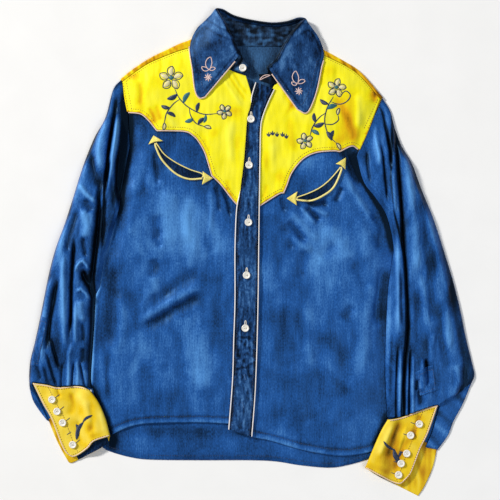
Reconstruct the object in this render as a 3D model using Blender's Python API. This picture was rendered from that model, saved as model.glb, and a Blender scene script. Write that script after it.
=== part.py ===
"""Long-sleeved western shirt laid flat on its back, built from the pieces it is cut from.

All tables are in millimetres: X to the viewer's right, Y towards the collar, Z up from the
surface the shirt lies on. "Right" and "left" in the names are the wearer's.
"""
import math

import bpy
import numpy as np

MM = 0.001
CLOTH = 1.2             # wall of one layer of satin
DOUBLE = 1.6            # wall of a folded, interfaced piece
SEAM = 0.3              # space left between sewn pieces
LAYER = 0.7             # space left between cloths lying on each other
LOFT = 6.5              # how far the front stands off the back inside the shirt
RISE = 22.0             # distance over which the front rises from a side edge
BACK = CLOTH / 2        # middle of the back layer
REST = BACK + CLOTH + LAYER     # middle of the front layer where it rests on the back
YOKE = CLOTH + LAYER            # from the middle of the front cloth to that of the yoke
BAND = YOKE + CLOTH / 2 + LAYER + DOUBLE / 2    # the same to that of the placket band
ALLOWANCE = 12.0        # front cloth that runs on under the yoke
CORD = 2.2              # width of the piping that shows
BUTTON = 6.0            # radius of a 12 mm shirt button
BUTTON_HIGH = 2.2
BUTTON_SIDES = 12
CUFF_OPEN = 6.0         # between the two layers of a cuff
CUFF_BLEND = 26.0       # distance before the body's edge where a cuff starts to rise onto it
SLEEVE_LOFT = 9.0       # how far the sleeve's two layers stand apart
SLEEVE_GAP = 2.6        # from the sleeve's middle surface to the body's edge
TAIL_RISE = 2.8         # height of the sleeve's tail beside the cuff flap
HEM_REACH = 40.0        # distance over which the hem holds the front down
CUFF_REACH = 34.0       # the same of a cuff
POCKET_LIFT = 0.3       # more than a yoke's height above the front, for the pocket mouths

# Side of the body from the hem up to the shoulder point: armhole above, side seam below.
RIGHT_SIDE = [(-245, -302), (-250, -270), (-254, -240), (-255, -206), (-253, -159), (-250, -111),
              (-248, -71), (-242, -54), (-234, -12), (-229, 4), (-219, 41), (-211, 73),
              (-206, 105), (-200, 142), (-195, 170), (-198, 225), (-202, 246), (-208, 276)]
LEFT_SIDE = [(200, -322), (207, -303), (213, -284), (214, -263), (213, -220), (213, -177),
             (216, -111), (219, -60), (224, -22), (228, 9), (218, 57), (200, 87), (181, 113),
             (170, 153), (174, 164), (189, 198), (211, 246)]
# Shoulder fold, from the neck end out to the shoulder point, and the seam in front of it.
RIGHT_FOLD = [(-70, 348), (-84, 346), (-98, 339), (-112, 334), (-127, 327), (-160, 311),
              (-188, 293), (-208, 277)]
LEFT_FOLD = [(88, 340), (100, 333), (117, 323), (130, 316), (146, 307), (175, 288), (211, 247)]
RIGHT_SEAM = [(-69, 337), (-98, 326), (-121, 319), (-160, 303), (-184, 288), (-205, 272)]
LEFT_SEAM = [(86, 329), (117, 314), (148, 299), (174, 281), (206, 245)]
# Neck edge of each front, from the shoulder to the front edge.
RIGHT_NECK = [(-69, 337), (-64, 322), (-54, 307), (-40, 295), (-26, 287), (-8, 281)]
LEFT_NECK = [(86, 329), (80, 311), (70, 294), (56, 279), (37, 266)]
BACK_NECK = [(-70, 348), (-58, 337), (-42, 329), (-6, 326), (54, 326), (72, 330), (88, 340)]
# Shaped lower edge of each front yoke, armhole to front edge, with its corners.
RIGHT_YOKE = [(-198, 225), (-176, 222), (-163, 212), (-149, 195), (-106, 194), (-90, 186),
              (-80, 174), (-72, 159), (-66, 140), (-61, 123), (-46, 108), (-23, 79), (4, 57)]
LEFT_YOKE = [(174, 164), (161, 171), (141, 162), (130, 163), (102, 160), (81, 149), (64, 128),
             (56, 108), (51, 96), (43, 94), (8, 72)]
RIGHT_FRONT = [(-8, 281), (1, 249), (5, 212), (6, 148), (4, 57), (3, -76), (-2, -172), (-7, -275)]
BAND_FREE = [(9, 270), (3, 250), (-2, 228), (-6, 212), (-11, 148), (-18, 92), (-22, 62),
             (-24, 4), (-24, -76), (-26, -140), (-28, -204), (-34, -282)]
BAND_SEWN = [(36, 260), (26, 239), (17, 215), (14, 196), (13, 148), (12, 84), (11, 4),
             (10, -76), (8, -156), (5, -228), (0, -293)]
RIGHT_HEM = [(-222, -291), (-208, -284), (-190, -277), (-157, -272), (-82, -271), (-37, -273),
             (-7, -275)]
LEFT_HEM = [(-3, -294), (30, -300), (78, -314), (126, -323), (158, -324), (190, -319),
            (198, -314)]
BACK_HEM = [(-245, -302), (-238, -311), (-226, -318), (-194, -327), (-162, -331), (-82, -332),
            (-2, -332), (40, -334), (78, -340), (126, -344), (158, -339), (185, -331),
            (200, -322)]
BACK_SEAM = [(-196, 176), (-120, 172), (-60, 168), (0, 150), (60, 166), (110, 168), (172, 160)]

# Folds pressed or lifted in the fronts and the upper side of the sleeves.
FOLDS = [  # x0, y0, x1, y1, half width, height
    (-155, 148, -149, 118, 9, -2.0),
    (-156, 42, -118, 40, 12, -2.2),
    (-150, -70, -106, -46, 11, -2.4),
    (-164, -96, -94, -64, 10, 2.4),
    (-162, -112, -94, -82, 10, -2.4),
    (-222, -30, -221, -150, 12, -2.6),
    (-42, 92, -32, 62, 9, -1.8),
    (88, 77, 126, 76, 9, -2.0),
    (76, 76, 112, 46, 10, -2.2),
    (94, 80, 120, 58, 10, 2.2),
    (78, 32, 88, -30, 11, -2.4),
    (124, 12, 138, -6, 12, -2.4),
    (146, -84, 160, -100, 12, -2.2),
    (196, -20, 200, -90, 13, -3.0),
]
SLEEVE_FOLDS = {
    "right": [
        (-219, 240, -226, 176, 7, -3.4),
        (-228, 166, -236, 112, 8, -3.6),
        (-244, 104, -244, 46, 9, -5.2),
        (-245, 44, -253, -26, 9, -4.2),
        (-274, 106, -246, 80, 9, 2.6),
        (-280, 15, -290, -126, 9, -3.0),
        (-307, -46, -327, -158, 10, -3.8),
        (-322, -142, -308, -200, 8, -2.6),
        (-298, -76, -298, -160, 10, 2.4),
        (-276, -20, -254, -94, 9, -4.4),
        (-286, -148, -284, -206, 6, -2.6),
        (-270, -146, -269, -208, 6, -2.6),
    ],
    "left": [
        (205, 232, 217, 188, 7, -3.0),
        (218, 184, 222, 136, 7, -3.0),
        (230, 196, 237, 106, 9, -4.6),
        (238, 104, 245, 0, 9, -4.8),
        (246, -4, 250, -110, 9, -4.6),
        (249, -114, 243, -250, 7, -4.0),
        (232, -146, 232, -250, 6, -2.6),
        (262, -150, 256, -246, 6, -2.6),
        (224, 114, 228, 50, 8, 2.6),
        (284, 60, 322, -120, 16, 2.4),
    ],
}
# Outer edge of each sleeve from the shoulder point to where the cuff flap starts.
SLEEVE_OUTER = {
    "right": [(-211, 277), (-220, 260), (-232, 216), (-250, 183), (-268, 138), (-285, 84),
              (-298, 44), (-312, 6), (-321, -27), (-329, -65), (-337, -106), (-345, -143),
              (-352, -171), (-354, -192), (-354, -206)],
    "left": [(213, 247), (222, 226), (230, 197), (241, 169), (257, 142), (273, 99), (292, 52),
             (312, -10), (324, -50), (335, -95), (343, -135), (353, -176), (357, -196),
             (351, -210)],
}
# From there the sleeve runs on past the flap to the lap of the cuff: outer edge, flap side.
SLEEVE_TAIL = {
    "right": ([(-354, -206), (-353, -218), (-348, -236), (-339, -251), (-326, -268)],
              [(-351, -208), (-343, -229), (-336, -243), (-330, -256), (-325, -266)]),
    "left": ([(351, -210), (338, -242), (323, -270), (315, -291), (298, -315)],
             [(302, -242), (296, -264), (290, -286), (284, -300), (279, -311)]),
}
CUFF_TOP = {        # sewn edge of the upper layer, flap side first
    "right": [(-348, -207), (-326, -210), (-308, -214), (-285, -212), (-268, -213), (-257, -218)],
    "left": [(298, -243), (283, -247), (260, -255), (240, -262), (219, -265)],
}
CUFF_FOLD = {       # folded edge, sleeve first
    "right": [(-257, -219), (-243, -239), (-232, -265), (-225, -292)],
    "left": [(218, -266), (207, -285), (195, -312), (182, -343)],
}
CUFF_FLAP = {       # free edge of the upper layer
    "right": [(-348, -208), (-332, -241), (-319, -264), (-304, -303), (-297, -317), (-290, -324)],
    "left": [(298, -243), (283, -286), (271, -311), (263, -332), (255, -352), (247, -362)],
}
CUFF_LIP = {        # hand edge of the upper layer, flap side first
    "right": [(-290, -324), (-283, -326), (-272, -321), (-259, -311), (-249, -300), (-225, -292)],
    "left": [(247, -362), (238, -369), (224, -366), (204, -355), (182, -343)],
}
CUFF_LAP = {        # free edge of the lower layer
    "right": [(-324, -271), (-312, -297), (-301, -319), (-291, -336)],
    "left": [(297, -318), (293, -335), (287, -353), (276, -376), (267, -389)],
}
CUFF_UNDER_LIP = {  # hand edge of the lower layer, lap side first
    "right": [(-291, -336), (-283, -335), (-255, -320), (-239, -311), (-228, -303), (-225, -292)],
    "left": [(267, -389), (237, -374), (204, -357), (182, -343)],
}
# Collar: roll line and outer edge at each station, from the right point round to the left
# one. "under" is 0 where the leaf lies on the front and 1 where it lies under the neck.
COLLAR = [  # roll x, y, z, edge x, y, under
    (-19, 312, 19, -75, 246, 0.0),
    (-26, 328, 20, -87, 258, 0.0),
    (-34, 346, 21, -92, 290, 0.0),
    (-44, 366, 20, -97, 326, 0.0),
    (-55, 386, 14, -94, 357, 0.15),
    (-45, 386, 9, -76, 364, 1.0),
    (-28, 377, 8, -45, 347, 1.0),
    (-2, 370, 8, -3, 336, 1.0),
    (32, 365, 8, 32, 336, 1.0),
    (58, 367, 8, 64, 343, 1.0),
    (76, 372, 9, 92, 358, 1.0),
    (86, 371, 14, 113, 343, 0.15),
    (78, 361, 19, 119, 318, 0.0),
    (66, 347, 20, 114, 294, 0.0),
    (55, 329, 20, 105, 264, 0.0),
    (44, 308, 19, 98, 240, 0.0),
    (28, 292, 18, 78, 225, 0.0),
]
STAND_SEAM = [  # neck seam under each collar station
    (-30, 291), (-42, 298), (-54, 309), (-63, 322), (-67, 336), (-62, 343), (-46, 333),
    (-3, 329), (35, 329), (64, 329), (80, 336), (86, 338), (84, 328), (79, 311), (69, 295),
    (58, 283), (44, 272),
]
STAND_ENDS = {  # seam x, y, top x, y of the free end past the first and the last station
    "first": [(-7, 284, -5, 299), (-16, 286, -11, 305)],
    "last": [(33, 268, 26, 285), (15, 272, 12, 283)],
}
POCKETS = {  # mouth edges and the tips and bases of the arrowheads, side end first
    "right": {"upper": [(-149, 171), (-138, 156), (-120, 143), (-98, 132), (-78, 125)],
              "lower": [(-151, 168), (-142, 149), (-127, 132), (-113, 122), (-97, 117),
                        (-79, 118)],
              "outer": [(-155, 186), (-163, 172), (-140, 177)],
              "inner": [(-61, 118), (-77, 129), (-78, 108)]},
    "left": {"upper": [(140, 132), (125, 115), (110, 103), (92, 94), (75, 88)],
             "lower": [(143, 130), (131, 104), (113, 90), (95, 83), (75, 84)],
             "outer": [(151, 151), (135, 141), (150, 132)],
             "inner": [(57, 86), (74, 97), (73, 75)]},
}
FRONT_BUTTONS = [(0, 212), (-3, 139), (-4, 48), (-7, -36), (-9, -120)]
COLLAR_BUTTON = (-13, 293)
CUFF_BUTTONS = {
    "right": [(-317, -234), (-309, -253), (-300, -271), (-284, -306)],
    "left": [(268, -273), (254, -291), (248, -320), (239, -336), (235, -354)],
}
SLEEVE_FACING = {   # slit facing on each sleeve: first and last row, first and last column
    "right": (18, 22, 1, 3),
    "left": (20, 22, 4, 6),
}
COLOURS = {
    "blue satin": (0.05, 0.15, 0.36),
    "navy satin": (0.02, 0.06, 0.18),
    "yellow satin": (0.88, 0.68, 0.04),
    "peach piping": (0.80, 0.58, 0.48),
    "pale yellow stitching": (0.90, 0.80, 0.20),
    "pearly plastic": (0.85, 0.83, 0.78),
}


def run(points, count, smooth=True):
    """Points at even spacing along a curve or, if not smooth, a line through a table's rows."""
    points = np.array(points, float)
    if smooth and len(points) > 2:
        ends = np.vstack([2 * points[0] - points[1], points, 2 * points[-1] - points[-2]])
        t = np.linspace(0, 1, 12, endpoint=False)[:, None]
        fine = [0.5 * (2 * b + (c - a) * t + (2 * a - 5 * b + 4 * c - d) * t ** 2
                       + (3 * b - a - 3 * c + d) * t ** 3)
                for a, b, c, d in zip(ends, ends[1:], ends[2:], ends[3:])]
        points = np.vstack(fine + [points[-1:]])
    along = np.concatenate([[0], np.cumsum(np.linalg.norm(np.diff(points, axis=0), axis=1))])
    at = np.linspace(0, along[-1], count + 1)
    return np.stack([np.interp(at, along, axis) for axis in points.T], axis=1)


def cut(points, start, end, count, smooth=True):
    """The part of a curve between two shares of its length."""
    fine = run(points, 400, smooth)
    return run(fine[int(start * 400):int(end * 400) + 1], count, False)


def patch(first, last, low, high, blend=None):
    """Grid of points between four edges: rows run from low to high, columns first to last."""
    rows, cols = len(first), len(low)
    s = np.linspace(0, 1, rows)[:, None, None]
    w = (np.linspace(0, 1, cols) if blend is None else blend)[None, :, None]
    ruled = (1 - w) * first[:, None] + w * last[:, None] + (1 - s) * low[None] + s * high[None]
    corners = ((1 - s) * ((1 - w) * low[0] + w * low[-1]) + s * ((1 - w) * high[0] + w * high[-1]))
    return ruled - corners


def cells(index):
    """Quads of a grid of vertex numbers."""
    return [(index[i, j], index[i, j + 1], index[i + 1, j + 1], index[i + 1, j])
            for i in range(index.shape[0] - 1) for j in range(index.shape[1] - 1)]


def vertex_normals(points, faces):
    normals = np.zeros_like(points)
    for face in faces:
        a, b, c, d = points[list(face)]
        normal = np.cross(c - a, d - b)
        for corner in face:
            normals[corner] += normal
    return normals / np.linalg.norm(normals, axis=1)[:, None]


def add_piece(name, points, faces, paint):
    mesh = bpy.data.meshes.new(name)
    mesh.from_pydata([tuple(p * MM) for p in points], [], [tuple(map(int, f)) for f in faces])
    mesh.materials.append(MATERIALS[paint])
    piece = bpy.data.objects.new(name, mesh)
    SHIRT.objects.link(piece)
    return piece


def cloth(name, points, faces, wall, paint):
    """Closed wall of even thickness about a middle surface that faces outwards."""
    normals = vertex_normals(points, faces)
    count = len(points)
    edges = {(f[k], f[(k + 1) % 4]) for f in faces for k in range(4)}
    solid = [tuple(f) for f in faces] + [tuple(v + count for v in reversed(f)) for f in faces]
    solid += [(b, a, a + count, b + count) for a, b in edges if (b, a) not in edges]
    both = np.vstack([points + normals * wall / 2, points - normals * wall / 2])
    return add_piece(name, both, solid, paint)


def sheet(name, grid, wall, paint):
    """Cloth from a grid of middle points whose rows go up and columns to the right."""
    rows, cols = grid.shape[:2]
    index = np.arange(rows * cols).reshape(rows, cols)
    return cloth(name, grid.reshape(-1, 3), cells(index), wall, paint)


def reach(x, y, line):
    """Distance from each point to a line of straight parts."""
    best = np.full(np.shape(x), 1e9)
    for (ax, ay), (bx, by) in zip(line, line[1:]):
        dx, dy = bx - ax, by - ay
        t = np.clip(((x - ax) * dx + (y - ay) * dy) / (dx * dx + dy * dy), 0, 1)
        best = np.minimum(best, np.hypot(x - ax - t * dx, y - ay - t * dy))
    return best


def creases(x, y, table):
    """Sum of the soft ridges and troughs of a table, tapered at both ends."""
    total = np.zeros(np.shape(x))
    for x0, y0, x1, y1, half, height in table:
        dx, dy = x1 - x0, y1 - y0
        long = math.hypot(dx, dy)
        along = ((x - x0) * dx + (y - y0) * dy) / long
        across = ((y - y0) * dx - (x - x0) * dy) / long
        past = np.maximum(0, np.maximum(-along, along - long))
        total += height * np.exp(-(across / half) ** 2 - (past / (1.6 * half)) ** 2)
    return total


def lie(x, y):
    """Height of the middle of the front cloth: low at the edges, under the cuffs and the hem."""
    edge = np.minimum(reach(x, y, RIGHT_SIDE), reach(x, y, LEFT_SIDE))
    edge = np.minimum(edge, np.minimum(reach(x, y, RIGHT_FOLD), reach(x, y, LEFT_FOLD)))
    rise = 1 - np.exp(-(edge / RISE) ** 2)
    hem = np.minimum(reach(x, y, RIGHT_HEM), reach(x, y, LEFT_HEM))
    cuffs = np.minimum(reach(x, y, CUFF_FOLD["right"]), reach(x, y, CUFF_FOLD["left"]))
    free = 1 - np.exp(-(cuffs / CUFF_REACH) ** 2)
    loft = LOFT * (1 - 0.6 * np.exp(-(hem / HEM_REACH) ** 2)) * free
    return REST + rise * (loft + creases(x, y, FOLDS) * free)


def lifted(flat, level):
    """Grid on the front at a level above the middle of the front cloth."""
    x, y = flat[..., 0], flat[..., 1]
    return np.dstack([x, y, lie(x, y) + level])


def build_back():
    right = cut(RIGHT_SIDE, 0.0, 0.815, 14)
    left = cut(LEFT_SIDE, 0.0, 0.84, 14)
    seam = run([tuple(right[-1])] + BACK_SEAM[1:-1] + [tuple(left[-1])], 10)
    flat = patch(right, left, run(BACK_HEM, 10), seam)
    sheet("back_panel", np.dstack([flat, np.full(flat.shape[:2], BACK)]), CLOTH, "blue satin")
    return right[-1], left[-1], seam


def build_back_yoke(right_end, left_end, seam):
    """Flat over the back, then round the shoulder folds to the seams in front of them."""
    lift = np.array([0, 1.3])
    shoulder, neck = 6, 8
    low = run(seam + lift, 2 * shoulder + neck, False)
    right_fold, left_fold = run(RIGHT_FOLD[::-1], shoulder), run(LEFT_FOLD, shoulder)
    high = np.vstack([right_fold, run(BACK_NECK, neck)[1:-1], left_fold])
    centre = np.array([0, 300.0])
    inset = high + 1.6 * (centre - high) / np.linalg.norm(centre - high, axis=1)[:, None]
    first = run([tuple(right_end + lift)] + [p for p in RIGHT_SIDE if p[1] > 180], 7)
    last = run([tuple(left_end + lift)] + [p for p in LEFT_SIDE if p[1] > 170], 7)
    inset[0], inset[-1] = first[-1] + (0.5, -2.0), last[-1] + (-1.0, -2.0)
    first, last = run(list(first[:-1]) + [inset[0]], 7), run(list(last[:-1]) + [inset[-1]], 7)
    flat = patch(first, last, low, inset)
    grid = np.dstack([flat, np.full(flat.shape[:2], BACK)])
    index = np.arange(grid.shape[0] * grid.shape[1]).reshape(grid.shape[:2])
    points, faces = list(grid.reshape(-1, 3)), cells(index)
    for fold, seam_line, start in ((right_fold, RIGHT_SEAM[::-1], 0),
                                   (left_fold, LEFT_SEAM, shoulder + neck - 1)):
        sewn = run(seam_line, shoulder)
        away = fold - sewn
        sewn = sewn + away / np.linalg.norm(away, axis=1)[:, None] * 0.8
        rows = [index[-1, start:start + shoulder + 1]]
        turn = lie(sewn[:, 0], sewn[:, 1]) + YOKE
        for share, height in ((0.0, 0.5), (0.14, 0.93), (0.5, 0.98), (1.0, 1.0)):
            line = fold + (sewn - fold) * share
            z = BACK + (turn - BACK) * height
            rows.append(np.arange(len(points), len(points) + shoulder + 1))
            points += [np.array([p[0], p[1], h]) for p, h in zip(line, z)]
        faces += cells(np.array(rows))
    cloth("back_yoke", np.array(points), [f[::-1] for f in faces], CLOTH, "yellow satin")


def build_lining():
    low = run([(-178, 182), (-60, 174), (0, 160), (60, 172), (158, 176)], 14)
    high = run([(-186, 268), (-150, 292), (-96, 318), (-58, 330), (-40, 326), (-6, 324),
                (54, 324), (74, 324), (110, 308), (150, 284), (186, 250)], 14)
    flat = patch(run([low[0], (-180, 230), high[0]], 6), run([low[-1], (168, 205), high[-1]], 6),
                 low, high)
    sheet("back_yoke_lining", np.dstack([flat, np.full(flat.shape[:2], REST)]), CLOTH,
          "blue satin")


def build_fronts():
    """Each front runs from its hem to a little under its yoke."""
    up = np.array([0, ALLOWANCE])
    side = run([(-222, -291), (-236, -262), (-247, -235)]
               + [p for p in RIGHT_SIDE if -220 < p[1] < 222] + [tuple(RIGHT_YOKE[0] + up)], 24)
    front = run([(-7, -275)] + RIGHT_FRONT[::-1][1:-4] + [tuple(RIGHT_YOKE[-1] + up)], 24)
    top = run(np.array(RIGHT_YOKE) + up, 15)
    sheet("front_right", lifted(patch(side, front, run(RIGHT_HEM, 15), top), 0), CLOTH,
          "blue satin")
    side = run([(198, -314), (206, -298)] + [p for p in LEFT_SIDE if -290 < p[1] < 160]
               + [tuple(LEFT_YOKE[0] + np.array([1, 10]))], 24)
    top = run(np.vstack([np.array(LEFT_YOKE[:1]) + (1, 10), np.array(LEFT_YOKE[1:]) + up])[::-1],
              15)
    front = run([(-3, -294), (2, -228), (5, -156), (7, -76), (8, 4), tuple(top[0])], 24)
    sheet("front_left", lifted(patch(front, side, run(LEFT_HEM, 15), top), 0), CLOTH,
          "blue satin")


def build_front_yokes():
    low = run(RIGHT_YOKE, 22, False)
    high = np.vstack([run(RIGHT_SEAM[::-1], 14), run(RIGHT_NECK, 8)[1:]])
    between = run([p for p in RIGHT_SIDE if 220 < p[1] < 270], 8)
    armhole = run([low[0]] + list(between[1:]) + [high[0]], 8)
    front = run(RIGHT_FRONT[:5][::-1], 8)
    sheet("yoke_front_right", lifted(patch(armhole, front, low, high), YOKE), CLOTH,
          "yellow satin")
    low = run(LEFT_YOKE[::-1], 22, False)
    high = np.vstack([run(LEFT_NECK[::-1], 8), run(LEFT_SEAM, 14)[1:]])
    front = run([low[0], (10, 84), (10, 148), (11, 196), (14, 215), (23, 239), high[0]], 8)
    armhole = run([low[-1], (189, 198), high[-1]], 8)
    sheet("yoke_front_left", lifted(patch(front, armhole, low, high), YOKE), CLOTH,
          "yellow satin")


def edging(name, line, away, start, width, heights, paint, turn=False):
    """Flat ribbon beside a line of points, between two distances from it."""
    inner, outer = line + away * start, line + away * (start + width)
    grid = np.stack([inner, outer], axis=1)
    grid = np.dstack([grid, heights(grid[..., 0], grid[..., 1])])
    sheet(name, grid[:, ::-1] if turn else grid, CLOTH, paint)


def beside(line, sign):
    """Unit vectors across a line, to its left for sign 1."""
    along = np.gradient(line, axis=0)
    across = np.stack([-along[:, 1], along[:, 0]], axis=1) * sign
    return across / np.linalg.norm(across, axis=1)[:, None]


def build_band():
    free, sewn = run(BAND_FREE[::-1], 34), run(BAND_SEWN[::-1], 34)
    flat = patch(free, sewn, run([free[0], sewn[0]], 2), run([free[-1], sewn[-1]], 2))
    sheet("placket_band", lifted(flat, BAND), DOUBLE, "navy satin")

    def level(x, y):
        return lie(x, y) + BAND

    edging("piping_band_free", free, beside(free, 1), SEAM, CORD, level, "peach piping", True)
    edging("piping_band_sewn", sewn, beside(sewn, -1), SEAM, CORD, level, "peach piping")
    for number, (x, y) in enumerate(FRONT_BUTTONS, 1):
        add_button(f"button_front_{number}", x, y, level)


def build_yoke_piping():
    def level(x, y):
        return lie(x, y) + YOKE

    line = run(RIGHT_YOKE, 22, False)[1:20]
    edging("piping_yoke_right", line, beside(line, -1), 2 * SEAM, CORD, level, "peach piping")
    line = run(LEFT_YOKE[::-1], 22, False)[1:-1]
    edging("piping_yoke_left", line, beside(line, -1), 2 * SEAM, CORD, level, "peach piping")


def add_button(name, x, y, level):
    """Disc with a raised rim, standing clear of the highest cloth under it."""
    sides = BUTTON_SIDES
    turns = np.linspace(0, 2 * math.pi, sides, endpoint=False)
    rim = np.array([(x + BUTTON * math.cos(a), y + BUTTON * math.sin(a)) for a in turns])
    base = max(level(rim[:, 0], rim[:, 1]).max(), float(level(np.array([x]), np.array([y]))[0]))
    base += DOUBLE / 2 + 2 * SEAM
    profile = [(4.9, 0.0), (BUTTON, 0.9), (5.3, BUTTON_HIGH), (4.1, 1.7)]
    points = [np.array([x + r * math.cos(a), y + r * math.sin(a), base + z])
              for r, z in profile for a in turns]
    points += [np.array([x, y, base]), np.array([x, y, base + 1.5])]
    below, above, last = 4 * sides, 4 * sides + 1, 3 * sides
    faces = []
    for k in range(sides):
        n = (k + 1) % sides
        for first in range(0, last, sides):
            faces.append((first + k, first + n, first + sides + n, first + sides + k))
        faces += [(below, n, k), (above, last + k, last + n)]
    add_piece(name, points, faces, "pearly plastic")


def build_pockets():
    """Curved mouth between two stitched lines, with an arrowhead sewn at each end."""
    for side, rows in POCKETS.items():
        upper, lower = run(rows["upper"], 12), run(rows["lower"], 12)
        if upper[0, 0] > upper[-1, 0]:
            upper, lower = upper[::-1], lower[::-1]

        def level(x, y):
            return lie(x, y) + YOKE + POCKET_LIFT

        mouth = np.stack([lower + (upper - lower) * share for share in (0.2, 0.5, 0.8)])
        sheet(f"pocket_{side}_welt", lifted(mouth[:, 1:-1], YOKE + POCKET_LIFT), CLOTH,
              "navy satin")
        edging(f"pocket_{side}_upper", upper[1:-1], beside(upper, 1)[1:-1], -0.4, 1.6, level,
               "pale yellow stitching", True)
        edging(f"pocket_{side}_lower", lower[1:-1], beside(lower, -1)[1:-1], -0.4, 2.2, level,
               "pale yellow stitching")
        for end in ("outer", "inner"):
            tip, one, two = (np.array(p, float) for p in rows[end])
            add_arrowhead(f"pocket_{side}_arrow_{end}", tip, one, two)


def add_arrowhead(name, tip, one, two):
    """Triangle with a notched base, raised like close satin stitch."""
    if np.cross(one - tip, two - tip) < 0:
        one, two = two, one
    base = (one + two) / 2
    notch = base + (tip - base) * 0.25
    ring = np.array([tip, (tip + one) / 2, one, (one + notch) / 2, notch, (two + notch) / 2, two,
                     (tip + two) / 2])
    centre = (tip + notch) / 2
    flat = np.vstack([ring, (ring + centre) / 2, centre])
    low = np.column_stack([flat, lie(flat[:, 0], flat[:, 1]) + YOKE - CLOTH / 2 + 0.8])
    around = len(ring)
    swell = np.array([0.9] * around + [1.5] * around + [1.7])[:, None] * (0, 0, 1)
    points = np.vstack([low, low + swell])
    top, middle = len(flat), 2 * around
    faces = []
    for k in range(around):
        n = (k + 1) % around
        inner, inner_n = around + k, around + n
        faces += [(k, n, n + top, k + top), (n, k, inner, inner_n), (inner_n, inner, middle),
                  (k + top, n + top, inner_n + top, inner + top),
                  (inner + top, inner_n + top, middle + top)]
    add_piece(name, points, faces, "pale yellow stitching")


def sleeve_parts(side):
    """Points of the sleeve: a flattened tube with a tail running on past the cuff flap."""
    sign = -1 if side == "right" else 1
    body = RIGHT_SIDE if side == "right" else LEFT_SIDE
    under = (-195, 170) if side == "right" else (170, 153)
    rows, half, tail = 23, 10, 4
    bias = 0.5 - 0.5 * np.cos(np.linspace(0, math.pi, half + 1))
    armhole = [p for p in body if p[1] >= under[1]][::-1]
    armhole = run(np.array(armhole) + (sign * SLEEVE_GAP, 0), 400)
    start = armhole[(bias * 400).astype(int)]
    outer = run([tuple(start[0])] + SLEEVE_OUTER[side][1:], rows)
    seam = [p for p in body if p[1] < under[1] and p[1] > CUFF_TOP[side][-1][1] + 4]
    inner = np.array([under] + seam[::-1]) + (sign * SLEEVE_GAP, 0)
    inner = run([tuple(p) for p in inner] + [(CUFF_TOP[side][-1][0] + sign * 0.8,
                                             CUFF_TOP[side][-1][1] + 1.2)], rows)
    edge, flap = (run(line, tail, False) for line in SLEEVE_TAIL[side])
    near = 2 if side == "right" else 4
    sewn = run(np.array(CUFF_TOP[side]) + (0, 1.0), half - near)
    end = np.vstack([run([edge[0], sewn[0]], near)[:-1], sewn])
    end[-1] = inner[-1]
    top = patch(outer, inner, start, end, bias)
    lap = np.array(CUFF_LAP[side][0], float) + (0, 1.4)
    flat_end = np.vstack([edge, run([lap, (lap + inner[-1]) / 2 + (0, 1.4), inner[-1]],
                                    half - tail - 1)])
    bottom = patch(outer, inner, start, flat_end, bias)
    return top, bottom, edge, flap, near


def sleeve_heights(side, top, bottom):
    """Heights of the two layers; both are low where the tube is sewn to the body and cuff."""
    rows, cols = top.shape[:2]
    s = np.linspace(0, 1, rows)[:, None]
    w = (0.5 - 0.5 * np.cos(np.linspace(0, math.pi, cols)))[None, :]
    full = (1 - np.exp(-(s / 0.10) ** 2)) * (1 - 0.45 * np.exp(-((1 - s) / 0.10) ** 2))
    arch = np.sqrt(np.clip(1 - (2 * w - 1) ** 4, 0, 1))
    folds = creases(top[..., 0], top[..., 1], SLEEVE_FOLDS[side])
    hollow = (REST - BACK) + full * arch * (SLEEVE_LOFT + folds)
    low = np.full((rows, cols), BACK)
    low[:, 0] = low[:, -1] = BACK + 0.5 * (REST - BACK)
    high = BACK + np.maximum(hollow * arch, REST - BACK)
    high[:, 0], high[:, -1] = low[:, 0], low[:, -1]
    return high, low


def build_sleeve(side):
    top, bottom, edge, flap, near = sleeve_parts(side)
    high, low = sleeve_heights(side, top, bottom)
    rows, cols = top.shape[:2]
    top, bottom = np.dstack([top, high]), np.dstack([bottom, low])
    tail = len(edge) - 1
    bottom[-1, :tail + 1, 2] = BACK + CLOTH
    top[-1, 0] = bottom[-1, 0]
    count = rows * cols
    index = np.arange(count).reshape(rows, cols)
    under = np.arange(count, 2 * count).reshape(rows, cols)
    under[:, 0], under[:, -1] = index[:, 0], index[:, -1]
    points = np.vstack([top.reshape(-1, 3), bottom.reshape(-1, 3)])
    lower = index.copy()
    lower[:, 1:-1] = under[:, 1:-1]
    faces = cells(index) + [f[::-1] for f in cells(lower)]
    extra, start = [list(index[-1, :near + 1])], len(points)
    added = []
    for r in range(1, tail + 1):
        line = [int(lower[-1, r])]
        for k in range(1, near + 1):
            spot = edge[r] + (flap[r] - edge[r]) * k / near
            height = BACK + CLOTH + TAIL_RISE * (k / near) ** 0.6 * (1 - 0.5 * r / tail)
            line.append(start + len(added))
            added.append([*spot, height])
        extra.append(line)
    faces += cells(np.array(extra))
    points = np.vstack([points, np.array(added)])
    used = sorted({v for f in faces for v in f})
    renumber = {old: new for new, old in enumerate(used)}
    points = points[used]
    faces = [tuple(renumber[v] for v in f) for f in faces]
    if side == "right":
        faces = [f[::-1] for f in faces]
    cloth(f"sleeve_{side}", points, faces, CLOTH, "blue satin")
    normals = vertex_normals(points, faces)
    r0, r1, c0, c1 = SLEEVE_FACING[side]
    chosen = np.array([[renumber[int(index[r, c])] for c in range(c0, c1 + 1)]
                       for r in range(r0, r1 + 1)])
    grid = (points + normals * (CLOTH + LAYER))[chosen]
    sheet(f"sleeve_placket_{side}", grid, CLOTH, "blue satin")


def cuff_base(side, x, y):
    """Rise of a cuff where it lies on the corner of the body."""
    body = run(RIGHT_SIDE if side == "right" else LEFT_SIDE, 80)
    edge = np.interp(y, body[:, 1], body[:, 0])
    inside = (x - edge) if side == "right" else (edge - x)
    step = np.clip((inside + CUFF_BLEND) / 22, 0, 1)
    return BACK + (REST + CLOTH + 2.4) * step * step * (3 - 2 * step)


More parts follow.
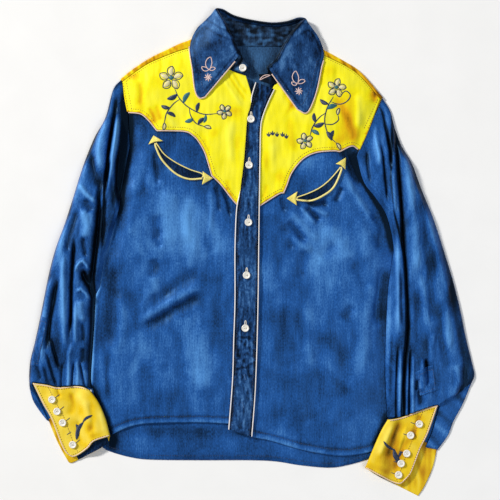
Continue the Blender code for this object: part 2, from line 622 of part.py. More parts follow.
def build_cuff(side):
    rows, cols = 7, 9
    fold = run(CUFF_FOLD[side], rows)
    top = patch(run(CUFF_FLAP[side], rows), fold, run(CUFF_TOP[side], cols),
                run(CUFF_LIP[side], cols))
    sewn = run([CUFF_LAP[side][0], CUFF_FOLD[side][0]], cols)
    bottom = patch(run(CUFF_LAP[side], rows), fold, sewn, run(CUFF_UNDER_LIP[side], cols))
    base = cuff_base(side, bottom[..., 0], bottom[..., 1]) + (DOUBLE - CLOTH) / 2
    w = np.linspace(0, 1, cols + 1)[None, :]
    gape = CUFF_OPEN * np.sqrt(1 - w ** 6)
    high = cuff_base(side, top[..., 0], top[..., 1]) + (DOUBLE - CLOTH) / 2 + gape
    middle = (high[:, -1] + base[:, -1]) / 2 + 0.5 * CUFF_OPEN
    upper, lower = np.dstack([top, high]), np.dstack([bottom, base])
    upper[:, -1, 2] = middle
    grid = np.concatenate([upper, lower[:, -2::-1]], axis=1)
    sheet(f"cuff_{side}", grid[::-1] if side == "right" else grid, DOUBLE, "yellow satin")
    rim = np.vstack([upper[1:, 0], upper[-1, 1:-1]])
    toward = np.vstack([(upper[:, 1] - upper[:, 0])[1:], (upper[-2] - upper[-1])[1:-1]])
    away = -toward / np.linalg.norm(toward, axis=1)[:, None]
    corner = len(upper) - 2
    away[corner] = -(toward[corner] + upper[-2, 0] - upper[-1, 0])
    away[corner] /= np.linalg.norm(away[corner])
    strip = np.stack([rim + away * SEAM, rim + away * (SEAM + CORD)], axis=1)
    sheet(f"piping_cuff_{side}", strip if side == "left" else strip[:, ::-1], CLOTH,
          "peach piping")

    def level(x, y):
        return cuff_base(side, x, y) + (DOUBLE - CLOTH) / 2 + CUFF_OPEN

    for number, (x, y) in enumerate(CUFF_BUTTONS[side], 1):
        add_button(f"button_cuff_{side}_{number}", x, y, level)


def build_collar():
    """The leaf rolls over the top of the stand; behind the neck it lies under it."""
    table = np.array(COLLAR, float)
    steps = 2 * (len(table) - 1)
    at = np.linspace(0, len(table) - 1, steps + 1)
    line = np.stack([smooth_at(column, at) for column in table.T], axis=1)
    seam = np.stack([smooth_at(c, at) for c in np.array(STAND_SEAM, float).T], axis=1)
    roll, edge, under = line[:, :3], line[:, 3:5], np.clip(line[:, 5], 0, 1)
    rest = lie(edge[:, 0], edge[:, 1]) + YOKE + CLOTH / 2 + LAYER + DOUBLE / 2
    edge_z = rest * (1 - under) + DOUBLE / 2 * under
    inward = beside(roll[:, :2], -1)
    rows = [np.column_stack([roll[:, :2] + inward * 2.0, roll[:, 2] - 2.2 + 1.4 * under])]
    for v, turned, out in ((0.0, 1.0, 0.0), (0.06, 0.55, 3.6), (0.13, 0.12, 3.0),
                           (0.27, 0.0, 0.0), (0.5, 0.0, 0.0), (0.75, 0.0, 0.0), (1.0, 0.0, 0.0)):
        share = (1 - v) ** 1.15 * (1 - under) + turned * under
        place = roll[:, :2] + (edge - roll[:, :2]) * v - inward * (out * under)[:, None]
        rows.append(np.column_stack([place, edge_z + (roll[:, 2] - edge_z) * share]))
    leaf = np.stack(rows)
    sheet("collar_leaf", leaf[::-1, ::-1], DOUBLE, "navy satin")
    for side, point in (("right", leaf[:, :7]), ("left", leaf[:, :-9:-1])):
        outer = np.vstack([point[3:, 0], point[-1, 1:]])
        toward = np.vstack([point[3:, 1] - point[3:, 0], (point[-2] - point[-1])[1:]])
        toward /= np.linalg.norm(toward, axis=1)[:, None]
        toward[len(point) - 4] += (point[-2, 0] - point[-1, 0]) / 30
        away = -toward / np.linalg.norm(toward, axis=1)[:, None]
        strip = np.stack([outer + away * SEAM, outer + away * (SEAM + CORD)], axis=1)
        sheet(f"piping_collar_{side}", strip if side == "left" else strip[:, ::-1], CLOTH,
              "peach piping")

    top = np.column_stack([roll[:, :2] + inward * (4.2 + 1.2 * under)[:, None],
                           roll[:, 2] - 6.4 + 2.6 * under])
    foot = lie(seam[:, 0], seam[:, 1]) + YOKE + 0.3
    foot = foot * (1 - under) + (REST + 0.9) * under
    low = np.column_stack([seam, foot])
    ends = []
    for key in ("first", "last"):
        for sx, sy, tx, ty in STAND_ENDS[key]:
            z = float(lie(np.array([sx]), np.array([sy]))[0]) + BAND
            ends.append((np.array([sx, sy, z]), np.array([tx, ty, z + 0.6])))
    low = np.vstack([[e[0] for e in ends[:2]], low, [e[0] for e in ends[2:]]])
    top = np.vstack([[e[1] for e in ends[:2]], top, [e[1] for e in ends[2:]]])
    grid = np.stack([low + (top - low) * share for share in (0.0, 0.35, 0.7, 1.0)])
    sheet("collar_stand", grid, DOUBLE, "blue satin")

    def level(x, y):
        return lie(x, y) + BAND + 0.6

    add_button("button_collar", *COLLAR_BUTTON, level)


def smooth_at(values, at):
    """Cubic interpolation of a column of a table at fractional rows."""
    padded = np.concatenate([[2 * values[0] - values[1]], values, [2 * values[-1] - values[-2]]])
    low = np.minimum(at.astype(int), len(values) - 2)
    t = at - low
    a, b, c, d = (padded[low + k] for k in range(4))
    return 0.5 * (2 * b + (c - a) * t + (2 * a - 5 * b + 4 * c - d) * t ** 2
                  + (3 * b - a - 3 * c + d) * t ** 3)


for old in list(bpy.data.objects):
    bpy.data.objects.remove(old, do_unlink=True)
SHIRT = bpy.data.collections.new("western shirt")
bpy.context.scene.collection.children.link(SHIRT)
MATERIALS = {}
for label, colour in COLOURS.items():
    material = bpy.data.materials.new(label)
    material.use_nodes = True
    shader = material.node_tree.nodes["Principled BSDF"]
    shader.inputs["Base Color"].default_value = (*colour, 1)
    shader.inputs["Roughness"].default_value = 0.25 if "plastic" in label else 0.5
    MATERIALS[label] = material

ends_and_seam = build_back()
build_back_yoke(*ends_and_seam)
build_lining()
build_fronts()
build_front_yokes()
build_band()
build_yoke_piping()
build_pockets()
for wearer in ("right", "left"):
    build_sleeve(wearer)
    build_cuff(wearer)
build_collar()
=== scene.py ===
"""Looks of a long-sleeved western shirt laid flat on its back: blue satin body and sleeves,
yellow yokes and cuffs, navy collar and placket, peach and cream piping, smile pockets.

Tables are in millimetres in the model's own frame: X to the viewer's right, Y towards the
collar, Z up from the floor. "Right" and "left" in the names are the wearer's.
"""
import math

import bmesh
import bpy
import numpy as np
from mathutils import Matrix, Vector, noise


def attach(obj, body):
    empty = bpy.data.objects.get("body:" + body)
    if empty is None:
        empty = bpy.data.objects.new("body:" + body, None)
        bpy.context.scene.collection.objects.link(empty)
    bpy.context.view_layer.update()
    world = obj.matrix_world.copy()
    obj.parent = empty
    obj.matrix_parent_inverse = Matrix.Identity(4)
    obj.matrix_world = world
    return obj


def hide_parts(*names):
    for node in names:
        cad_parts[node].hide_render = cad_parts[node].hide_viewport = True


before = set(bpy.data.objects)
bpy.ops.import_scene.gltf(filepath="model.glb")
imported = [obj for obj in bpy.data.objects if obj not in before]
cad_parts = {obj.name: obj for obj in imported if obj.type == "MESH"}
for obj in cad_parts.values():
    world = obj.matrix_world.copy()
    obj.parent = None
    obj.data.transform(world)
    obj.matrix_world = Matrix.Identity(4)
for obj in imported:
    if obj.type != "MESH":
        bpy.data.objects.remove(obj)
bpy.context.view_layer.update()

# ---------------------------------------------------------------------------------------
# Camera: straight above the shirt, as in the photograph, which takes in 800 mm of floor.
# An 85 mm lens keeps the near cloth and the far cloth at almost the same scale.
VIEW_WIDE = 0.800
VIEW_CENTRE = (-0.0016, 0.0040)
LENS, SENSOR = 85.0, 36.0

overhead = bpy.data.cameras.new("overhead camera")
overhead.lens, overhead.sensor_width = LENS, SENSOR
camera = bpy.data.objects.new("overhead camera", overhead)
camera.location = (*VIEW_CENTRE, VIEW_WIDE * LENS / SENSOR)
bpy.context.scene.collection.objects.link(camera)
bpy.context.scene.camera = camera
bpy.context.scene.view_settings.view_transform = "Standard"

# ---------------------------------------------------------------------------------------
# Floor and light: a sheet of matt white card with one softbox to the upper left, whose low
# light rakes across the folds, and a weak one overhead that opens the shadows.
FLOOR_HALF = 3.0


def linear(code):
    """Linear colour, with alpha, of an sRGB hex code."""
    parts = [int(code[k:k + 2], 16) / 255 for k in (1, 3, 5)]
    return (*[c / 12.92 if c <= 0.04045 else ((c + 0.055) / 1.055) ** 2.4 for c in parts], 1.0)


def add_node(material, kind, settings=None, links=None, stops=None):
    """A node with its properties and input values set, its inputs linked, its ramp filled."""
    node = material.node_tree.nodes.new(kind)
    for key, value in (settings or {}).items():
        if isinstance(key, int) or key in node.inputs:
            node.inputs[key].default_value = value
        else:
            setattr(node, key, value)
    for key, (source, output) in (links or {}).items():
        material.node_tree.links.new(source.outputs[output], node.inputs[key])
    if stops:
        ramp = node.color_ramp
        while len(ramp.elements) < len(stops):
            ramp.elements.new(1.0)
        for element, (place, code) in zip(ramp.elements, stops):
            element.position, element.color = place, linear(code)
    return node


def new_material(name, roughness, **sockets):
    """A material and its Principled shader, with the shader's constant values."""
    material = bpy.data.materials.new(name)
    material.use_nodes = True
    shader = material.node_tree.nodes["Principled BSDF"]
    shader.inputs["Roughness"].default_value = roughness
    for label, value in sockets.items():
        shader.inputs[label.replace("_", " ")].default_value = value
    return material, shader


def join(material, source, output, shader, socket):
    """Link a node's output to an input of the shader."""
    material.node_tree.links.new(source.outputs[output], shader.inputs[socket])


def card():
    """Uncoated white card: no gloss, and a tooth too fine to see."""
    material, shader = new_material("white card", 0.9)
    tooth = add_node(material, "ShaderNodeTexNoise", {"Scale": 90.0, "Detail": 3.0})
    tone = add_node(material, "ShaderNodeValToRGB", {}, {"Fac": (tooth, "Fac")},
                    [(0.3, "#F9F9F9"), (0.7, "#FCFCFC")])
    join(material, tone, "Color", shader, "Base Color")
    return material


def add_softbox(name, place, size, watts, tint):
    """Square area light aimed at the middle of the shirt."""
    lamp = bpy.data.lights.new(name, "AREA")
    lamp.size, lamp.energy, lamp.color = size, watts, linear(tint)[:3]
    box = bpy.data.objects.new(name, lamp)
    box.location = place
    box.rotation_euler = (-Vector(place)).to_track_quat("-Z", "Y").to_euler()
    bpy.context.scene.collection.objects.link(box)


corners = [(-FLOOR_HALF, -FLOOR_HALF, 0), (FLOOR_HALF, -FLOOR_HALF, 0),
           (FLOOR_HALF, FLOOR_HALF, 0), (-FLOOR_HALF, FLOOR_HALF, 0)]
floor_mesh = bpy.data.meshes.new("floor")
floor_mesh.from_pydata(corners, [], [(0, 1, 2, 3)])
floor_mesh.materials.append(card())
floor = bpy.data.objects.new("floor", floor_mesh)
bpy.context.scene.collection.objects.link(floor)
add_softbox("softbox upper left", (-5.1, 3.1, 3.7), 1.0, 520.0, "#FFFBF4")
add_softbox("softbox overhead", (1.5, -0.8, 2.7), 1.6, 28.0, "#F4F8FF")
room = bpy.data.worlds.new("pale room")
room.use_nodes = True
room.node_tree.nodes["Background"].inputs["Color"].default_value = linear("#EEF2F6")
room.node_tree.nodes["Background"].inputs["Strength"].default_value = 0.24
bpy.context.scene.world = room

# ---------------------------------------------------------------------------------------
# Back: one panel of blue rayon satin that lies flat on the floor. Its curved tail shows
# below the front hems. Its top is sewn to the back yoke under the fronts.
MM = 0.001
CLOTH = 1.2             # wall of one layer in the model, its nap and sewn turnings included
WALL = 0.9              # what is drawn of it
LAYER = 0.7             # space between cloths that lie on each other
BACK = CLOTH / 2        # height of the middle of the back
REST = BACK + CLOTH + LAYER     # the same of a front where it rests on the back

# Side of the body from the hem up to the shoulder point: armhole above, side seam below.
RIGHT_SIDE = [(-245, -302), (-250, -270), (-254, -240), (-255, -206), (-253, -159), (-250, -111),
              (-248, -71), (-242, -54), (-234, -12), (-229, 4), (-219, 41), (-211, 73),
              (-206, 105), (-200, 142), (-195, 170), (-198, 225), (-202, 246), (-208, 276)]
LEFT_SIDE = [(200, -322), (207, -303), (215, -284), (217, -263), (215, -220), (214, -177),
             (216, -111), (219, -60), (224, -22), (228, 9), (218, 57), (200, 87), (181, 113),
             (170, 153), (174, 164), (189, 198), (211, 246)]
BACK_HEM = [(-245, -302), (-238, -311), (-226, -318), (-194, -327), (-162, -331), (-82, -332),
            (-2, -332), (40, -334), (78, -340), (126, -344), (158, -339), (185, -331),
            (200, -322)]
BACK_SEAM = [(-196, 176), (-120, 172), (-60, 168), (0, 150), (60, 166), (110, 168), (172, 160)]
BACK_WAVES = [  # height, half width west and east, points from top to bottom
    (1.0, 9, 14, [(-182, -270), (-178, -300), (-184, -326)]),
    (0.9, 12, 9, [(-96, -262), (-92, -298), (-98, -328)]),
    (0.8, 10, 12, [(-30, -262), (-34, -300), (-28, -328)]),
    (0.8, 12, 10, [(66, -290), (70, -316), (64, -336)]),
]


def cubic(a, b, c, d, t):
    """Points between b and c on the smooth curve through four points or rows of them."""
    return 0.5 * (2 * b + (c - a) * t + (2 * a - 5 * b + 4 * c - d) * t ** 2
                  + (3 * b - a - 3 * c + d) * t ** 3)


def run(points, count, smooth=True):
    """Points at even spacing along a curve or, if not smooth, a line through a table's rows."""
    points = np.array(points, float)
    if smooth and len(points) > 2:
        ends = np.vstack([2 * points[0] - points[1], points, 2 * points[-1] - points[-2]])
        t = np.linspace(0, 1, 24, endpoint=False)[:, None]
        fine = [cubic(*four, t) for four in zip(ends, ends[1:], ends[2:], ends[3:])]
        points = np.vstack(fine + [points[-1:]])
    along = np.concatenate([[0], np.cumsum(np.linalg.norm(np.diff(points, axis=0), axis=1))])
    at = np.linspace(0, along[-1], count + 1)
    return np.stack([np.interp(at, along, axis) for axis in points.T], axis=1)


def cut(points, start, end, count):
    """The part of a curve between two shares of its length."""
    steps = 1200
    return run(run(points, steps)[int(start * steps):int(end * steps) + 1], count, False)


def patch(first, last, low, high, blend=None):
    """Grid of points between four edges: rows run from low to high, columns first to last."""
    rows, cols = len(first), len(low)
    s = np.linspace(0, 1, rows)[:, None, None]
    w = (np.linspace(0, 1, cols) if blend is None else blend)[None, :, None]
    ruled = (1 - w) * first[:, None] + w * last[:, None] + (1 - s) * low[None] + s * high[None]
    crossed = ((1 - s) * ((1 - w) * low[0] + w * low[-1])
               + s * ((1 - w) * high[0] + w * high[-1]))
    return ruled - crossed


def folds(x, y, table):
    """Summed height of listed folds. Each has its own half width on either side, follows
    its points from the top down, and runs out softly at both ends."""
    total = np.zeros(np.shape(x))
    for height, west, east, line in table:
        line = np.array(line, float)
        spans = np.linalg.norm(np.diff(line, axis=0), axis=1)
        starts = np.concatenate([[0], np.cumsum(spans)])
        nearest, side, along = np.full(total.shape, 1e9), np.zeros(total.shape), total * 0
        for (ax, ay), (bx, by), start, span in zip(line, line[1:], starts, spans):
            dx, dy = (bx - ax) / span, (by - ay) / span
            t = (x - ax) * dx + (y - ay) * dy
            on = np.clip(t, 0, span)
            away = np.hypot(x - ax - on * dx, y - ay - on * dy)
            closer = away < nearest
            nearest = np.where(closer, away, nearest)
            side = np.where(closer, dx * (y - ay) - dy * (x - ax), side)
            along = np.where(closer, (start + t) / starts[-1], along)
        half = np.where(side > 0, east, west)
        ends = np.clip(np.minimum(along, 1 - along) / 0.22 + 0.08, 0, 1)
        total += height * np.exp(-(nearest / half) ** 2) * ends * ends * (3 - 2 * ends)
    return total


def ripple(x, y, size, seed):
    """Smooth uneven height between about -1 and 1, the same on every run."""
    wide, tall = size
    values = [2 * noise.noise(Vector((a / wide, b / tall, seed)))
              for a, b in zip(np.ravel(x), np.ravel(y))]
    return np.array(values).reshape(np.shape(x))


def cells(rows, cols):
    """Quads of a grid of points, as rows of four point numbers."""
    n = np.arange(rows * cols).reshape(rows, cols)
    return np.stack([n[:-1, :-1], n[:-1, 1:], n[1:, 1:], n[1:, :-1]], axis=-1).reshape(-1, 4)


def add_piece(name, points, faces, material, pattern=None, shade_wear=None, weld=False):
    """Smooth mesh of points in mm that rides on the shirt, with its pattern coordinates in
    metres and its painted light and wear: 1 is pale from wear and painted highlight, 0 deep,
    and below 0 is the painted black shade at a fold's bottom."""
    mesh = bpy.data.meshes.new(name)
    mesh.from_pydata((points * MM).tolist(), [], [tuple(face) for face in faces])
    mesh.polygons.foreach_set("use_smooth", [True] * len(mesh.polygons))
    corner = np.empty(len(mesh.loops), int)
    mesh.loops.foreach_get("vertex_index", corner)
    flat = points[:, :2] if pattern is None else pattern
    layer = mesh.uv_layers.new(name="cut")
    layer.data.foreach_set("uv", (flat[corner] * MM).ravel().astype(np.float32))
    shade = mesh.attributes.new("shade_wear", "FLOAT", "POINT")
    values = np.full(len(points), 0.5) if shade_wear is None else np.clip(shade_wear, -0.45, 1)
    shade.data.foreach_set("value", values.astype(np.float32))
    mesh.materials.append(material)
    if weld:
        build = bmesh.new()
        build.from_mesh(mesh)
        bmesh.ops.remove_doubles(build, verts=build.verts, dist=0.02 * MM)
        build.to_mesh(mesh)
        build.free()
    piece = bpy.data.objects.new(name, mesh)
    bpy.context.scene.collection.objects.link(piece)
    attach(piece, "root")
    return piece


def add_cloth(name, grids, material, wall=WALL, shade_wears=None, patterns=None):
    """One cloth from one or more grids that meet at their edges, with a real thickness."""
    points = np.vstack([grid.reshape(-1, 3) for grid in grids])
    faces, start = [], 0
    for grid in grids:
        faces.append(cells(*grid.shape[:2]) + start)
        start += grid.shape[0] * grid.shape[1]
    shade_wear = None if shade_wears is None else np.concatenate([f.ravel() for f in shade_wears])
    pattern = None if patterns is None else np.vstack([p.reshape(-1, 2) for p in patterns])
    piece = add_piece(name, points, np.vstack(faces), material, pattern, shade_wear, len(grids) > 1)
    shell = piece.modifiers.new("thickness", "SOLIDIFY")
    shell.thickness, shell.offset = wall * MM, 0.0
    return piece


def satin(name, shadow_black, deep, body, worn_and_lit, roughness, grain):
    """Rayon satin, woven with long glossy warp floats: light runs along the warp. The colour
    carries painted shade, almost black at the bottom of creases and rich beside them, and
    painted highlight, pale on ridges, with fine upright streaks of paler colour where the
    filaments have lost their gloss from wear."""
    material, shader = new_material(
        name, roughness, Anisotropic=0.45, Sheen_Weight=0.12, Sheen_Roughness=0.35,
        Sheen_Tint=linear(worn_and_lit), Specular_Tint=linear(worn_and_lit), IOR=1.47)
    place = add_node(material, "ShaderNodeUVMap", {"uv_map": "cut"})
    shade_wear = add_node(material, "ShaderNodeAttribute", {"attribute_name": "shade_wear"})
    # Worn warp streaks about 2.5 mm wide and 40 mm long.
    upright = add_node(material, "ShaderNodeMapping", {"Scale": (400.0, 25.0, 1.0)},
                       {"Vector": (place, "UV")})
    streaks = add_node(material, "ShaderNodeTexNoise",
                       {"Scale": 1.0, "Detail": 4.0, "Roughness": 0.62},
                       {"Vector": (upright, "Vector")})
    # Slubs of the filament, 0.2 mm in the real cloth, drawn 1.6 mm wide to show.
    slub_size = add_node(material, "ShaderNodeMapping", {"Scale": (620.0, 260.0, 1.0)},
                         {"Vector": (place, "UV")})
    slubs = add_node(material, "ShaderNodeTexNoise",
                     {"Scale": 1.0, "Detail": 2.0, "Roughness": 0.7},
                     {"Vector": (slub_size, "Vector")})
    # Clouds of wear and old wash marks about 70 mm across.
    clouds = add_node(material, "ShaderNodeTexNoise",
                      {"Scale": 14.0, "Detail": 3.0, "Roughness": 0.55, "Distortion": 0.6},
                      {"Vector": (place, "UV")})
    parts = [(streaks, 0.42 * grain), (slubs, 0.66 * grain), (clouds, 0.85 * grain)]
    total, output = shade_wear, "Fac"
    for texture, share in parts:
        centred = add_node(material, "ShaderNodeMath",
                           {"operation": "MULTIPLY_ADD", 1: share, 2: -0.5 * share},
                           {0: (texture, "Fac")})
        total = add_node(material, "ShaderNodeMath", {"operation": "ADD"},
                         {0: (centred, "Value"), 1: (total, output)})
        output = "Value"
    # Ramp: painted black shade at a fold's bottom, the cloth's deep and body colours, then the pale
    # of wear and painted highlight.
    dye = add_node(material, "ShaderNodeValToRGB", {}, {"Fac": (total, "Value")},
                   [(0.0, shadow_black), (0.2, deep), (0.5, body), (0.94, worn_and_lit)])
    join(material, dye, "Color", shader, "Base Color")
    # The floats stand a little proud of the ground: the relief is 0.25 mm.
    relief = add_node(material, "ShaderNodeMath", {"operation": "ADD"},
                      {0: (streaks, "Fac"), 1: (slubs, "Fac")})
    bump = add_node(material, "ShaderNodeBump", {"Strength": 0.5, "Distance": 0.25 * MM},
                    {"Height": (relief, "Value")})
    join(material, bump, "Normal", shader, "Normal")
    warp = add_node(material, "ShaderNodeTangent", {"direction_type": "UV_MAP", "uv_map": "cut"})
    join(material, warp, "Tangent", shader, "Tangent")
    return material


# Blue satin colours: painted black shade, deep, body, and the pale of wear and painted highlight.
blue_satin = satin("blue rayon satin", "#04070C", "#122C52", "#23579F", "#5E9EE2", 0.40, 0.9)

BACK_ROWS, BACK_COLS = 90, 80
right_edge = cut(RIGHT_SIDE, 0.0, 0.815, BACK_ROWS)
left_edge = cut(LEFT_SIDE, 0.0, 0.84, BACK_ROWS)
back_seam = run([tuple(right_edge[-1])] + BACK_SEAM[1:-1] + [tuple(left_edge[-1])], BACK_COLS)
flat = patch(right_edge, left_edge, run(BACK_HEM, BACK_COLS), back_seam)
x, y = flat[..., 0], flat[..., 1]
tail = np.clip((-262 - y) / 20, 0, 1)
above_hem = y - np.interp(x, *np.array(BACK_HEM).T)
edge = np.clip(above_hem / 6, 0, 1)
waves = tail * edge * np.clip(folds(x, y, BACK_WAVES) + 0.3 * ripple(x, y, (26, 60), 1), 0, 2)
# Painted light and tone of the tail: painted highlight on the crests of its waves, painted shadow
# in a band under the front hem, an almost black painted shadow at the right cuff's corner, darker
# along the hem's stitching and paler at the hem's edge.
back_panel = add_cloth("satin_back", [np.dstack([flat, BACK + waves])], blue_satin,
                       shade_wears=[0.38 + 0.1 * waves - 0.16 * np.exp(-((y + 286) / 9) ** 2)
                              - 0.16 * np.exp(-((above_hem - 7) / 2) ** 2)
                              - 0.6 * np.exp(-(np.hypot(x + 220, (y + 300) / 2) / 7) ** 2)
                              + 0.12 * (1 - edge) * tail])
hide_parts("back_panel")

# ---------------------------------------------------------------------------------------
# Fronts: two panels of the same blue satin, from the hem to just under the yokes. They
# stand off the back in the middle and are flat at the seams, and the pockets pull them
# into short creases. Every other piece on the chest lies on this surface.
LOFT = 6.5              # how far the front stands off the back inside the shirt
RISE = 22.0             # distance over which the front rises from a side edge
ALLOWANCE = 12.0        # front cloth that runs on under the yoke

RIGHT_FOLD = [(-70, 348), (-84, 346), (-98, 339), (-112, 334), (-127, 327), (-160, 311),
              (-188, 293), (-208, 277)]
LEFT_FOLD = [(88, 340), (100, 333), (117, 323), (130, 316), (146, 307), (175, 288), (211, 247)]
RIGHT_YOKE = [(-198, 225), (-176, 222), (-163, 212), (-149, 195), (-106, 194), (-90, 186),
              (-80, 174), (-72, 159), (-66, 140), (-61, 123), (-46, 108), (-23, 79), (4, 57)]
LEFT_YOKE = [(174, 164), (161, 171), (141, 162), (130, 163), (102, 160), (81, 149), (64, 128),
             (56, 108), (51, 96), (43, 94), (8, 72)]
RIGHT_FRONT = [(-8, 281), (1, 249), (5, 212), (6, 148), (4, 57), (3, -76), (-2, -172),
               (-7, -275)]
LEFT_FRONT = [(-3, -294), (2, -228), (5, -156), (7, -76), (8, 4)]
RIGHT_HEM = [(-222, -291), (-208, -284), (-190, -277), (-157, -272), (-82, -271), (-37, -273),
             (-7, -275)]
LEFT_HEM = [(-3, -294), (30, -300), (78, -314), (126, -323), (158, -324), (190, -319),
            (198, -314)]
CUFF_FOLD = {       # folded edge of each cuff, sleeve first
    "right": [(-257, -219), (-243, -239), (-232, -265), (-225, -292)],
    "left": [(218, -266), (207, -285), (195, -312), (182, -343)],
}
FRONT_FOLDS = [  # height, half width west and east, points from the top down
    (-2.6, 3.5, 5.1, [(-155, 166), (-153, 148), (-150, 123), (-149, 106)]),
    (-1.6, 4.8, 5.6, [(-166, 135), (-170, 113), (-168, 94)]),
    (1.5, 8.0, 9.6, [(-184, 122), (-189, 76), (-194, 20)]),
    (-2.2, 11.2, 12.8, [(-152, 62), (-150, 39), (-154, 17)]),
    (1.6, 12.8, 12.8, [(-126, 103), (-133, 62), (-133, 10)]),
    (-3.0, 8.0, 9.6, [(-157, -9), (-154, -23), (-157, -42)]),
    (-2.2, 8.0, 9.6, [(-84, -26), (-110, -44), (-136, -64), (-170, -84)]),
    (2.8, 8.8, 7.2, [(-74, -50), (-104, -66), (-134, -84), (-180, -112)]),
    (-3.3, 7.2, 11.2, [(-72, -64), (-104, -80), (-134, -98), (-184, -126)]),
    (-3.2, 8.0, 11.2, [(-216, -9), (-222, -50), (-226, -105), (-226, -159)]),
    (-2.6, 4.0, 5.6, [(-226, -150), (-230, -191), (-229, -240)]),
    (1.8, 6.4, 6.4, [(-208, -63), (-203, -111), (-210, -159)]),
    (-2.6, 2.6, 3.8, [(-58, 110), (-52, 84), (-51, 62)]),
    (-3.0, 2.6, 3.8, [(-48, 105), (-37, 78), (-33, 55)]),
    (1.2, 4.0, 4.0, [(-66, 106), (-62, 68), (-66, 26)]),
    (-1.4, 9.6, 9.6, [(-75, 62), (-67, 4), (-72, -63)]),
    (1.4, 11.2, 11.2, [(-101, 65), (-94, 14), (-98, -31)]),
    (-1.5, 11.2, 11.2, [(-46, -15), (-56, -92), (-51, -166)]),
    (1.3, 12.8, 12.8, [(-75, -108), (-82, -166), (-75, -230)]),
    (-1.2, 9.6, 11.2, [(-120, -134), (-110, -185), (-117, -242)]),
    (-1.4, 11.2, 11.2, [(-184, -146), (-168, -194), (-174, -249)]),
    (-4.4, 4.0, 6.4, [(85, 82), (101, 76), (125, 77)]),
    (-3.4, 4.8, 5.4, [(146, 106), (140, 92), (133, 79)]),
    (-4.0, 4.2, 5.4, [(87, 74), (98, 63), (110, 48)]),
    (2.6, 3.2, 3.5, [(78, 73), (90, 58), (104, 44)]),
    (2.6, 3.5, 4.8, [(94, 71), (107, 66), (125, 58)]),
    (-3.2, 5.6, 6.7, [(59, 52), (72, 36), (88, 15)]),
    (2.4, 6.4, 6.4, [(51, 33), (72, 18), (99, 1)]),
    (-2.6, 8.0, 8.8, [(83, 6), (82, -15), (77, -46)]),
    (-2.4, 9.6, 9.6, [(136, 15), (123, 4), (110, -9)]),
    (-2.4, 7.2, 8.0, [(163, -84), (154, -95), (144, -106)]),
    (-2.6, 3.2, 4.2, [(47, 89), (50, 78), (53, 63)]),
    (2.0, 11.2, 11.2, [(120, 46), (136, 23), (162, -15)]),
    (-2.2, 8.0, 9.6, [(162, -15), (174, -36), (189, -58)]),
    (2.0, 9.6, 11.2, [(170, 62), (181, 20), (184, -15)]),
    (-2.6, 6.4, 8.0, [(194, 65), (203, 33), (206, 1)]),
    (-4.2, 8.0, 13.0, [(216, -22), (210, -60), (202, -116)]),
    (-6.0, 5.4, 8.0, [(160, 170), (170, 138), (188, 104), (207, 74), (221, 42), (227, 0)]),
    (2.6, 5.0, 6.4, [(148, 128), (163, 96), (181, 68), (200, 40), (206, 12)]),
    (2.0, 8.0, 8.0, [(-96, 92), (-104, 54), (-100, 14)]),
    (-2.2, 5.6, 6.4, [(-146, 40), (-150, 22), (-144, 6)]),
    (2.2, 6.4, 6.4, [(62, 70), (74, 50), (92, 30), (112, 20)]),
    (-2.0, 6.4, 8.0, [(46, 46), (60, 26), (66, 2)]),
    (1.8, 8.0, 8.0, [(-150, -20), (-156, -60), (-180, -96)]),
    (1.8, 9.6, 9.6, [(184, -70), (181, -124), (178, -191)]),
    (-1.6, 9.6, 11.2, [(142, -124), (149, -182), (142, -242)]),
    (1.3, 11.2, 11.2, [(88, -60), (94, -124), (88, -191)]),
    (-1.3, 9.6, 9.6, [(56, -76), (46, -140), (53, -210)]),
    (1.2, 9.6, 9.6, [(30, 42), (27, -15), (34, -76)]),
    (-1.2, 9.6, 9.6, [(114, -124), (107, -182), (117, -242)]),
]
GAP_SHADOWS = [   # painted shadow, almost black, in the gaps beside the sleeves and along the cuffs
    (-0.8, 5, 6, [(-198, 246), (-194, 205), (-196, 165), (-203, 120), (-209, 84), (-213, 46)]),
    (-0.5, 6, 9, [(156, 176), (164, 152), (174, 129), (191, 100), (209, 72), (222, 38),
                  (228, -14)]),
    (-0.55, 3, 3.5, [(150, 190), (156, 158), (170, 128), (190, 96), (209, 68), (221, 34),
                     (226, -8)]),
    (-0.35, 5, 6, [(140, 172), (150, 150), (162, 122), (176, 104)]),
    (-0.12, 3, 5, [(-236, -140), (-233, -182), (-229, -236)]),
    (-0.9, 4, 5, [(-264, -200), (-245, -239), (-232, -268), (-216, -324)]),
    (-0.4, 4, 5, [(218, -250), (206, -285), (194, -316)]),
]
YOKE_CORNERS = {"right": (3, 9), "left": (2, 8)}    # sharp points of the yokes' lower edges
FRONT_ROWS, FRONT_COLS = 228, 110


def shaped(points, corners, count):
    """Points at even spacing along an edge that is curved between its sharp corners."""
    stops = [0, *corners, len(points) - 1]
    parts = [run(points[a:b + 1], 200)[:-1] for a, b in zip(stops, stops[1:])]
    return run(np.vstack(parts + [np.array(points[-1:], float)]), count, False)


def reach(x, y, line):
    """Distance from each point to a line of straight parts."""
    best = np.full(np.shape(x), 1e9)
    for (ax, ay), (bx, by) in zip(line, line[1:]):
        dx, dy = bx - ax, by - ay
        t = np.clip(((x - ax) * dx + (y - ay) * dy) / (dx * dx + dy * dy), 0, 1)
        best = np.minimum(best, np.hypot(x - ax - t * dx, y - ay - t * dy))
    return best


def least_reach(x, y, *lines):
    """Distance from each point to the nearest of some lines."""
    return np.minimum.reduce([reach(x, y, line) for line in lines])


def under_cuffs(x, y, spread):
    """From 0 at a cuff's folded edge to 1 where the front is free of the cuffs."""
    return 1 - np.exp(-(least_reach(x, y, *CUFF_FOLD.values()) / spread) ** 2)


